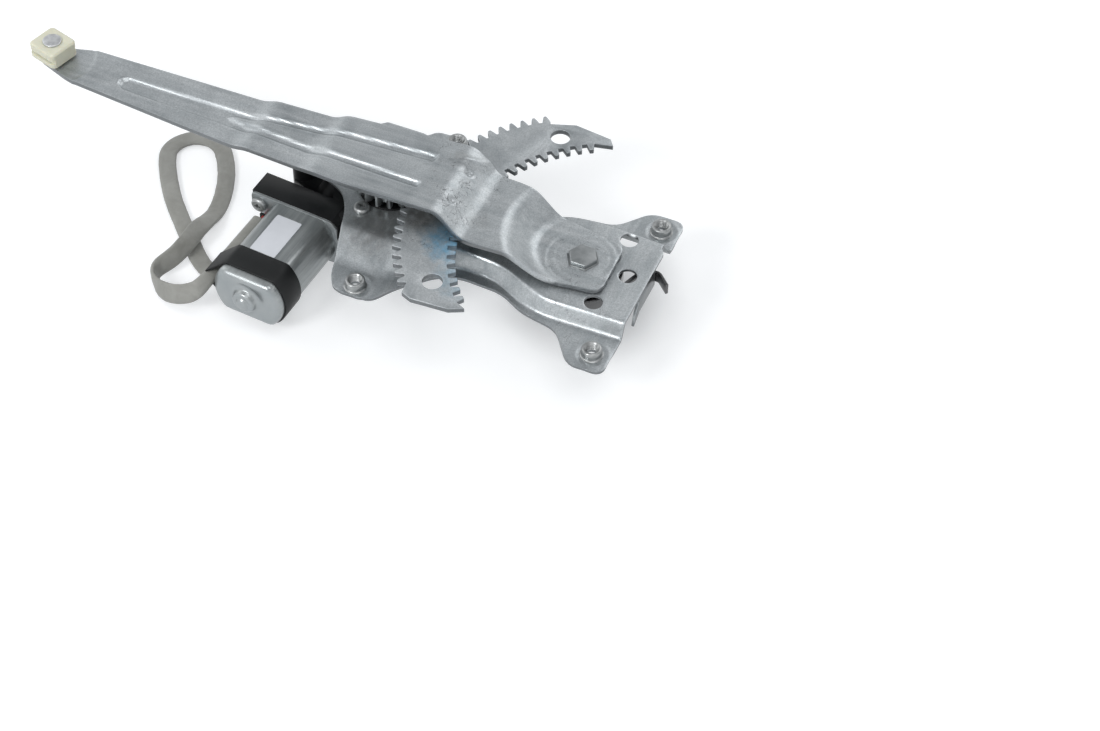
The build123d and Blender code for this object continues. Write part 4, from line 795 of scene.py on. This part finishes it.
screwCircle = [
    onUnit(gearUnit["screwCircle"] * cos(radians(a)), gearUnit["screwCircle"] * sin(radians(a)))
    for a in gearUnit["screwAngles"]
]
ears = [onUnit(*place) for place in gearUnit["ears"]]
plateHoles = []
for radius, places in (
    (3.05, plate["nuts"]), (4.65, plate["lightening"]), (4.2, plate["service"]), (9.4, [(0, 0)]),
    (16.9, [unit["centre"]]), (2.4, screwCircle + ears),
):
    plateHoles += [ringOf(place, radius, 0.8) for place in places]
plateOutline = roundedOutline(plate["outline"], plate["corner"])
pressedPlate = pressedSheet(
    "pressedPlate", plateOutline, plateHoles, plateHeight, plate["sheet"], plate["cell"],
)
finish(pressedPlate, "frame", plateZinc, "zinc_steel", "base_plate")
springTab = slab("springTab", plate["tab"], (plate["tabAt"], 0, 0), (0, 1, 0), (0, 0, 1), plate["sheet"])
finish(shadeByAngle(softenEdges(springTab, 0.35)), "frame", plateZinc, "zinc_steel")
print("plate", len(pressedPlate.data.polygons))


# node trees that lay out what repeats and what follows a path
def newTree(name, inputs):
    tree = bpy.data.node_groups.new(name, "GeometryNodeTree")
    for title, kind, value in inputs:
        socket = tree.interface.new_socket(name=title, in_out="INPUT", socket_type=kind)
        if value is not None:
            socket.default_value = value
    tree.interface.new_socket(name="Geometry", in_out="OUTPUT", socket_type="NodeSocketGeometry")
    return tree, add(tree, "NodeGroupInput"), add(tree, "NodeGroupOutput")


def setInput(modifier, title, value):
    for item in modifier.node_group.interface.items_tree:
        if item.in_out == "INPUT" and item.name == title:
            modifier[item.identifier] = value


def closeTree(tree, given, shape, result):
    # every tree ends in real geometry with the named material
    real = add(tree, "GeometryNodeRealizeInstances", Geometry=shape)
    paint = add(
        tree, "GeometryNodeSetMaterial", Geometry=real.outputs["Geometry"], Material=given.outputs["Finish"],
    )
    wire(tree, (paint, "Geometry", result, "Geometry"))
    result.location.x = paint.location.x + 200
    return tree


def placingTree():
    # one source object on each point, turned by the point's own angles and scaled by a named size
    tree, given, result = newTree("onEachPoint", [
        ("Geometry", "NodeSocketGeometry", None), ("Source", "NodeSocketObject", None),
        ("Size", "NodeSocketFloat", 1.0), ("Finish", "NodeSocketMaterial", None),
    ])
    source = add(tree, "GeometryNodeObjectInfo")
    turn = add(tree, "GeometryNodeInputNamedAttribute", data_type="FLOAT_VECTOR", Name="turn")
    angles = add(tree, "FunctionNodeEulerToRotation")
    copies = add(tree, "GeometryNodeInstanceOnPoints")
    wire(
        tree, (given, "Source", source, "Object"), (given, "Geometry", copies, "Points"),
        (source, "Geometry", copies, "Instance"), (turn, "Attribute", angles, "Euler"),
        (angles, "Rotation", copies, "Rotation"), (given, "Size", copies, "Scale"),
    )
    return closeTree(tree, given, copies.outputs["Instances"], result)


def stripTree():
    # a rounded strip swept along a path
    tree, given, result = newTree("stripAlongPath", [
        ("Geometry", "NodeSocketGeometry", None), ("Thickness", "NodeSocketFloat", 0.0015),
        ("Width", "NodeSocketFloat", 0.0066), ("Corner", "NodeSocketFloat", 0.0004),
        ("Finish", "NodeSocketMaterial", None),
    ])
    upright = add(tree, "GeometryNodeSetCurveNormal", mode="Z_UP")
    section = add(tree, "GeometryNodeCurvePrimitiveQuadrilateral")
    corner = add(tree, "GeometryNodeFilletCurve", mode="POLY", Count=3)
    sweep = add(tree, "GeometryNodeCurveToMesh")
    sweep.inputs["Fill Caps"].default_value = True
    wire(
        tree, (given, "Geometry", upright, "Curve"), (given, "Thickness", section, "Width"),
        (given, "Width", section, "Height"), (section, "Curve", corner, "Curve"),
        (given, "Corner", corner, "Radius"), (upright, "Curve", sweep, "Curve"),
        (corner, "Curve", sweep, "Profile Curve"),
    )
    return closeTree(tree, given, sweep.outputs["Mesh"], result)


onEachPoint, stripAlongPath = placingTree(), stripTree()


def repeated(name, source, places, material):
    # places are (point, euler angles)
    mesh = bpy.data.meshes.new(name)
    mesh.from_pydata([Vector(point) * mm for point, _ in places], [], [])
    turn = mesh.attributes.new("turn", "FLOAT_VECTOR", "POINT")
    for index, (_, angles) in enumerate(places):
        turn.data[index].vector = angles
    piece = linked(name, mesh)
    modifier = piece.modifiers.new("copies", "NODES")
    modifier.node_group = onEachPoint
    setInput(modifier, "Source", source)
    setInput(modifier, "Finish", material)
    bake(piece)
    bpy.data.objects.remove(source)
    return shadeByAngle(piece, 35)


# pan head with a cross recess, on its shank; slot is the recess's length, width and depth
screw = dict(headR=4.2, tall=2.6, shankR=2.35, deep=1.7, slot=(4.6, 1.0, 1.5), crown=0.42)


def crossScrew(name, shape):
    # the head's seat is at z = 0
    headR, tall, shankR, deep = (shape[key] for key in ("headR", "tall", "shankR", "deep"))
    slot, crown = shape["slot"], shape["crown"]
    profile = [(shankR - 0.3, -deep), (shankR, -deep + 0.6), (shankR, 0), (headR - 0.15, 0), (headR, 0.2)]
    profile.append((headR, crown * tall))
    for step in range(1, 7):
        angle = pi / 2 * step / 6
        profile.append((headR - crown * headR * (1 - cos(angle)), (crown + (1 - crown) * sin(angle)) * tall))
    profile.append((0.02, tall))
    piece = newPiece(name, *lathe(profile), False)
    reach, half, depth = slot[0] / 2, slot[1] / 2, tall - slot[2]
    corners = [(-reach, tall + 1), (-0.45 * reach, depth), (0.45 * reach, depth), (reach, tall + 1)]
    for turn in (0, pi / 2):
        along, origin = (cos(turn), sin(turn), 0), (sin(turn) * half, -cos(turn) * half, 0)
        cutter = mended(slab(name + "Cut", corners, origin, along, (0, 0, 1), -slot[1]))
        cut = piece.modifiers.new("cut", "BOOLEAN")
        cut.operation = "DIFFERENCE"
        cut.solver = "EXACT"
        cut.object = cutter
        bake(piece)
        bpy.data.objects.remove(cutter)
    return piece


upSeat, downSeat = gearUnit["screwSeat"], gearUnit["earSeat"]
upward = [((x, y, upSeat), (0, 0, unit["turn"] + 0.4 * i)) for i, (x, y) in enumerate(screwCircle)]
downward = [((x, y, downSeat), (pi, 0, 0.3 + i)) for i, (x, y) in enumerate(ears[1:])]
gearScrews = repeated("gearScrews", crossScrew("gearScrew", screw), upward + downward, fastenerZinc)
finish(gearScrews, "frame", fastenerZinc, "bright_steel", "gearbox_screws")
onFlange = [(onMotor(*place, 32.5), (pi / 2, 0, unit["turn"])) for place in ((-24.6, 8.0), (23.8, -6.8))]
longScrew = crossScrew("flangeScrew", dict(screw, deep=5.2))
flangeScrews = repeated("flangeScrews", longScrew, onFlange, fastenerZinc)
finish(flangeScrews, "frame", fastenerZinc, "bright_steel", "motor_screws")


def weldNut(name):
    # collar with a threaded bore on a wider seat
    profile = [
        (3.05, 0), (5.9, 0), (5.8, 0.3), (5.3, 0.5), (5.05, 0.8), (5, 1.3), (5, 4.1), (4.75, 4.55), (4.3, 4.8),
        (3.7, 4.8), (3.1, 4.3),
    ]
    for turn in range(4):
        profile += [(3.25, 4.05 - turn), (3.25, 3.9 - turn), (2.85, 3.6 - turn), (2.85, 3.45 - turn)]
    steps = 40
    points, faces = lathe(profile, steps, False)
    last = len(points) - steps
    faces += [(last + s, last + (s + 1) % steps, (s + 1) % steps, s) for s in range(steps)]
    return newPiece(name, points, faces)


onLugs = [((x, y, plate["lug"]), (0, 0, 0)) for x, y in plate["nuts"]]
nuts = repeated("weldNuts", weldNut("weldNut"), onLugs, fastenerZinc)
finish(nuts, "frame", fastenerZinc, "bright_steel", "weld_nuts")

# counterbalance spring: half turns about two centres a step apart, from the pin's slot to the plate's tab
spring = dict(
    first=11.0, step=1.444, halves=9, last=72, bend=2.0, middle=2.7, leg=-6.0, legStep=1.5, tail=13.05,
    far=34.0, hook=8.0, legPoints=10, bendPoints=6, turnPoints=24,
)


def springPath():
    # the leg in the slot, its bend, the half turns, the straight tail and the hook round the tab
    bend, first, tail, far, hook = (spring[key] for key in ("bend", "first", "tail", "far", "hook"))
    path = [(0, spring["leg"] + i * spring["legStep"]) for i in range(spring["legPoints"])]
    for i in range(1, spring["bendPoints"] + 1):
        a = pi / 2 * i / spring["bendPoints"]
        path.append((-bend + bend * cos(a), first - bend + bend * sin(a)))
    for half in range(spring["halves"] + 1):
        radius, centre = first + half * spring["step"], spring["step"] * (half % 2)
        sweep = 180 if half < spring["halves"] else spring["last"]
        for i in range(1, spring["turnPoints"] + 1):
            a = radians(90 + 180 * half + sweep * i / spring["turnPoints"])
            path.append((-bend + radius * cos(a), centre + radius * sin(a)))
    last = radians(90 + 180 * spring["halves"] + spring["last"])
    x, y = path[-1]
    corner = x - (tail - y) / cos(last) * sin(last)
    for target in (
        (corner + 0.4, tail - 0.8), (corner + 1.4, tail), (far + 1.0, tail), (far + 2.4, tail - 0.6),
        (far + hook, tail - hook + 2),
    ):
        steps = max(1, round(hypot(target[0] - x, target[1] - y) / 2))
        for i in range(1, steps + 1):
            path.append((x + (target[0] - x) * i / steps, y + (target[1] - y) * i / steps))
        x, y = target
    return path


def stripPiece(name, line):
    curve = bpy.data.curves.new(name, "CURVE")
    curve.dimensions = "3D"
    spline = curve.splines.new("POLY")
    spline.points.add(len(line) - 1)
    for point, (x, y) in zip(spline.points, line):
        point.co = (x * mm, y * mm, spring["middle"] * mm, 1)
    piece = linked(name, curve)
    modifier = piece.modifiers.new("strip", "NODES")
    modifier.node_group = stripAlongPath
    setInput(modifier, "Finish", springSteel)
    return shadeByAngle(bake(piece), 40)


# the leg turns with the pin, and the first half turn winds between it and the rest
springLine = springPath()
legEnd = spring["legPoints"] + spring["bendPoints"]
turnEnd = legEnd + spring["turnPoints"]
finish(stripPiece("springLeg", springLine[:legEnd]), "arm", springSteel, "spring_steel")
innerTurn = stripPiece("springInnerTurn", springLine[legEnd - 1:turnEnd])
coloured(innerTurn, springSteel)
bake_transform(innerTurn)
coil = stripPiece("coiledSpring", springLine[turnEnd - 1:])
finish(coil, "frame", springSteel, "spring_steel", "spiral_spring")
print("repeated pieces", len(gearScrews.data.polygons), len(nuts.data.polygons), len(coil.data.polygons))

# motor can: a drawn double-D shell with a stepped boss on its closed end
can = dict(
    radius=19.5, flat=14.0, start=31.0, end=86.0, rounding=3.4, roundingSteps=8, steps=96, smooth=1.6, wall=1.5,
    # shallow ring and boss on the closed end, as radius and height
    boss=[
        (10.6, 0), (10, -0.3), (8.4, -0.3), (7.6, 0.05), (6.9, 0.3), (6.4, 0.9), (6.2, 2.3), (5.9, 2.9),
        (5.2, 3.3), (4.3, 3.4), (3.8, 3.3), (3.4, 3.5), (3.1, 4.1), (2.6, 4.6), (1.8, 4.9), (0.9, 5), (0.1, 5),
    ],
)


def canLoop(inset, along):
    # the section's two bows and two flats, with eased corners
    loop, smooth = [], can["smooth"]
    for step in range(can["steps"]):
        angle = 2 * pi * step / can["steps"]
        bow, flat = can["radius"] - inset, (can["flat"] - inset) / max(abs(sin(angle)), 1e-3)
        mix = max(smooth - abs(bow - flat), 0) / smooth
        radius = min(bow, flat) - mix * mix * smooth * 0.25
        loop.append(onMotor(radius * cos(angle), radius * sin(angle), along))
    return loop


def motorShell():
    start, end, rounding = can["start"], can["end"], can["rounding"]
    loops = [canLoop(can["wall"], start + 0.2), canLoop(0, start + 0.2)]
    loops += [canLoop(0, along) for along in np.linspace(start + 1, end - rounding, 10)]
    for step in range(1, can["roundingSteps"] + 1):
        angle = pi / 2 * step / can["roundingSteps"]
        loops.append(canLoop(rounding * (1 - cos(angle)), end - rounding * (1 - sin(angle))))
    for radius, out in can["boss"]:
        loops.append([onMotor(x, y, end + out) for x, y in circle((0, 0), radius, can["steps"])])
    return shadeByAngle(lofted("motorShell", loops), 40)


flange = dict(
    thick=1.5, corner=3.0,
    outline=[
        (-29.5, 14.3), (-29.5, 1.5), (-20.5, 1.5), (-20.5, -11), (-17, -14.3), (17, -14.3), (21, -12.5),
        (27, -12.5), (27, -1), (20.5, 2), (20.5, 11), (17, 14.3),
    ],
)


def motorFlange():
    across = onMotor(1, 0, 0) - onMotor(0, 0, 0)
    outline = roundedOutline(flange["outline"][::-1], flange["corner"])
    return mended(slab("motorFlange", outline, onMotor(0, 0, can["start"]), across, (0, 0, 1), flange["thick"]))


finish(motorShell(), "frame", motorSteel, "bright_steel", "motor_can")
finish(shadeByAngle(softenEdges(motorFlange(), 0.4)), "frame", motorSteel, "bright_steel")

# blank label on the can's upper flat
label = dict(side=(-9.0, 5.3), along=(39.8, 66.6), lift=0.14)


def blankLabel():
    left, right = label["side"]
    start, end = label["along"]
    corners = roundedOutline([(left, start), (right, start), (right, end), (left, end)], 1.0)
    loops = [[onMotor(a, can["flat"] + up, b) for a, b in corners] for up in (-0.05, label["lift"])]
    return shadeByAngle(lofted("blankLabel", loops))


finish(blankLabel(), "frame", labelPaper, "nylon")

# gear unit, and the strap: a band pulled tight round the can and the lead beside it
finish(dressed("gear_housing", "gearHousing", 0.5), "frame", housingPlastic, "black_plastic", "gear_housing")
strap = dict(
    start=67.0, end=81.0, thick=1.0, gap=0.1, steps=72, tube=(-22.9, 0.4), tubeR=3.35, tubeSteps=32,
    # the section across the band, as shares of its thickness and of the way along, with a broken edge
    section=[
        (0.0, "start", 0), (0.75, "start", 0), (1.0, "start", 0.3), (1.0, "end", -0.3), (0.75, "end", 0),
        (0.0, "end", 0),
    ],
)


def cableStrap():
    reach, high = can["radius"] + strap["gap"], can["flat"] + strap["gap"]
    ring = [(x, max(-high, min(high, y))) for x, y in circle((0, 0), reach, strap["steps"])]
    ring += circle(strap["tube"], strap["tubeR"], strap["tubeSteps"])
    work = bmesh.new()
    for x, y in ring:
        work.verts.new((x, y, 0))
    outer = bmesh.ops.convex_hull(work, input=work.verts)["geom"]
    hull = sorted({tuple(v.co[:2]) for v in outer if isinstance(v, bmesh.types.BMVert)})
    work.free()
    hull.sort(key=lambda p: atan2(p[1], p[0]))
    hull = [p for i, p in enumerate(hull) if (Vector(p) - Vector(hull[i - 1])).length > 0.02]
    loops = []
    for share, edge, inwards in strap["section"]:
        loop = []
        for i, point in enumerate(hull):
            tangent = (Vector(hull[(i + 1) % len(hull)]) - Vector(hull[i - 1])).normalized()
            x, y = Vector(point) + Vector((tangent.y, -tangent.x)) * share * strap["thick"]
            loop.append(onMotor(x, y, strap[edge] + inwards))
        loops.append(loop)
    return shadeByAngle(mended(lofted("cableStrap", loops + [loops[0]], False), 0.001), 40)


finish(cableStrap(), "frame", strapRubber, "rubber", "cable_strap")
finish(dressed("wire_grommet", "wireGrommet", 0.4), "frame", strapRubber, "rubber", "wire_grommet")
finish(dressed("sector_gear", "toothedSector", 0.28), "arm", sectorZinc, "zinc_steel", "sector_gear")
finish(dressed("output_pinion", "outputPinion", 0.25), "output", pinSteel, "bright_steel", "output_pinion")
# the pin's head as the photograph has it, a little smaller and flatter
pinHead = dict(seat=0.01295, across=0.87, tall=0.72)
pin = dressed("pivot_pin", "pivotPin", 0.3)
for vertex in pin.data.vertices:
    above = vertex.co.z - pinHead["seat"]
    if above > 1e-5:
        vertex.co.x *= pinHead["across"]
        vertex.co.y *= pinHead["across"]
        vertex.co.z = pinHead["seat"] + above * pinHead["tall"]
finish(pin, "arm", pinSteel, "bright_steel", "pivot_pin")
finish(dressed("slider_block", "sliderBlock", 0.8, 3), "slider", sliderNylon, "nylon", "slider_block")
finish(dressed("slider_stud", "sliderStud", 0.3), "arm", studZinc, "bright_steel", "slider_stud")
finish(dressed("ear_rivet", "earRivet", 0.3), "frame", fastenerZinc, "bright_steel", "ear_rivet")

# zinc cover: six wedge embosses between spokes, a raised ring, a rolled rim and a vent hole
cover = dict(
    face=-22.5, back=-21.55, rim=-19.35, radius=31.28, roll=0.9, ring=(28.4, 29.2, 0.3), steps=240,
    wedges=6, turn=radians(12), low=9.0, high=25.0, spoke=2.2, tall=0.85, edge=(0.2, 0.9),
    radii=[
        1.8, 2.1, 3, 4.5, 6.5, 8.4, *np.arange(8.8, 11, 0.3), *np.arange(11.2, 24, 0.8),
        *np.arange(24, 26, 0.25), 27, 28.2, 28.6, 29.0, 29.4, 30.0,
    ],
)


def wedgeHeight(radius, angle):
    # how far the embosses stand out at a polar place
    spacing = 2 * pi / cover["wedges"]
    share = (angle - cover["turn"]) / spacing
    side = abs(radius * sin((share - round(share)) * spacing))
    half = radius * sin(spacing / 2) - cover["spoke"]
    inward = min(radius - cover["low"], cover["high"] - radius, half - side)
    return cover["tall"] * float(ease((inward + cover["edge"][0]) / cover["edge"][1]))


def zincCover():
    radii, face, roll, rim, back = (cover[key] for key in ("radii", "face", "roll", "rim", "back"))
    low, high, sunk = cover["ring"]
    profile = [(radius, face + (sunk if low < radius < high else 0.0)) for radius in radii]
    for step in range(1, 6):
        angle = pi / 2 * step / 5
        profile.append((cover["radius"] - roll + roll * sin(angle), face + roll * (1 - cos(angle))))
    profile += [(cover["radius"], -20.5), (cover["radius"], rim)]
    profile += [(30.4, rim), (30.4, -21.4), (29, back), (1.8, back)]
    loops = []
    for row, (radius, z) in enumerate(profile):
        loop = []
        for step in range(cover["steps"]):
            angle = 2 * pi * step / cover["steps"]
            out = wedgeHeight(radius, angle) if row < len(radii) else 0.0
            loop.append((*onUnit(radius * cos(angle), radius * sin(angle)), z - out))
        loops.append(loop)
    return shadeByAngle(mended(lofted("zincCover", loops + [loops[0]], False), 0.001), 50)


finish(zincCover(), "frame", coverZinc, "zinc_cover", "housing_cover")

# blue ink dots beside the holes, on the panel side of the lugs
inkDot = dict(
    profile=[(0.9, 0.0), (0.9, 0.06), (0.5, 0.1)], steps=20, z=-0.02,
    besideNut=[(7.5, 1.0), (-7, 3.0), (-7.0, -2.0), (4, -7.5)],
)
dot = newPiece("inkDot", *lathe(inkDot["profile"], inkDot["steps"]))
dotPlaces = [
    ((x + dx, y + dy, inkDot["z"]), (pi, 0, 0)) for (x, y), (dx, dy) in zip(plate["nuts"], inkDot["besideNut"])
]
finish(repeated("inkDots", dot, dotPlaces, inkBlue), "frame", inkBlue, "blue_wire")

# the CAD nodes that stay, inside and out
kept = {
    "pivot_bush": bronzeBush, "pivot_ring": pinSteel, "drive_plate": pinSteel, "damper": damperRubber,
    "worm_wheel": sliderNylon, "worm_shaft": pinSteel, "armature_core": ferriteBlock,
    "windings": copperWire, "commutator": copperWire, "rear_bearing": bronzeBush,
    "front_bearing": bronzeBush, "nose_bearing": bronzeBush, "magnets": ferriteBlock,
    "brush_holder": housingPlastic, "brushes": carbonBlock, "wire_red": redSheath, "wire_blue": blueSheath,
    "connector_terminals": fastenerZinc,
}
for node, material in kept.items():
    coloured(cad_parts[node], material)
print("pieces dressed")


# floor, lamps and world
def seenByRay(tree, strength):
    # a number for camera, glossy and transmission rays, and 0 for the rest
    ray = add(tree, "ShaderNodeLightPath")
    seen = maths(tree, "MAXIMUM", ray.outputs["Is Camera Ray"], ray.outputs["Is Glossy Ray"])
    seen = maths(tree, "MAXIMUM", seen, ray.outputs["Is Transmission Ray"])
    return ranged(tree, seen, 0.0, 1.0, 0.0, strength)


# white to the camera and in reflections, with a faint shadow, and a painted shadow: the glow is cut in a patch
# under the plate, seen through its holes
floor = dict(
    half=6000, below=0.2, colour=(0.62, 0.625, 0.63), roughness=0.9, glow=(0.97, 0.985, 1.0), strength=0.5,
    paintedShadowCentre=(-0.002, 0.02), paintedShadowRange=(0.01, 0.05, 0.25, 1.0),
)


def paleFloor():
    material, tree, shader, where = newMaterial("paleFloor", 0.0, specular=0.1)
    painted(tree, shader, floor["colour"], floor["roughness"])
    # painted shadow: the floor's glow drops to a quarter near a point under the plate
    paintedShadow = ranged(tree, gapTo(tree, where, (*floor["paintedShadowCentre"], cadBox[0][2])), *floor["paintedShadowRange"])
    strength = maths(tree, "MULTIPLY", seenByRay(tree, floor["strength"]), paintedShadow)
    glow = add(tree, "ShaderNodeEmission", Color=floor["glow"], Strength=strength)
    total = add(tree, "ShaderNodeAddShader")
    feed(tree, total.inputs[0], shader.outputs[0])
    feed(tree, total.inputs[1], glow.outputs[0])
    feed(tree, tree.nodes["Material Output"].inputs["Surface"], total.outputs[0])
    half, z = floor["half"], cadBox[0][2] / mm - floor["below"]
    corners = [(-half, -half, z), (half, -half, z), (half, half, z), (-half, half, z)]
    piece = newPiece("floor", corners, [(0, 1, 2, 3)], False)
    coloured(piece, material)


paleFloor()
lamps = dict(
    key=dict(place=(-0.55, -1.15, 1.0), size=0.45, power=10.5),
    top=dict(place=(0.35, -0.5, 1.6), size=0.9, power=6.0),
    fill=dict(place=(-1.3, 0.1, 0.9), size=1.1, power=3.5),
    back=dict(place=(0.3, 1.3, 1.2), size=1.0, power=5.0),
)
lampTarget = Vector((-0.12, 0, 0))
for name, lamp in lamps.items():
    data = bpy.data.lights.new(name, "AREA")
    data.size = lamp["size"]
    data.energy = lamp["power"]
    holder = linked(name, data)
    holder.location = lamp["place"]
    holder.rotation_euler = (lampTarget - Vector(lamp["place"])).to_track_quat("-Z", "Y").to_euler()

# the studio: brighter low down than overhead, as reflections see it
studio = dict(low=(0.98, 0.99, 1.0), high=(0.42, 0.43, 0.445), heights=(0.3, 0.85), ambient=(0.42, 0.43, 0.44))
world = bpy.data.worlds.new("studio")
scene.world = world
world.use_nodes = True
tree = world.node_tree
ways = add(tree, "ShaderNodeTexCoord").outputs["Generated"]
height = add(tree, "ShaderNodeSeparateXYZ", Vector=ways)
backdrop = blend(tree, ranged(tree, height.outputs["Z"], *studio["heights"]), studio["low"], studio["high"])
shown = blend(tree, seenByRay(tree, 1.0), studio["ambient"], backdrop)
tree.links.new(shown, tree.nodes["Background"].inputs["Color"])
print("floor, lamps and world placed")
scene.view_settings.view_transform = "Standard"
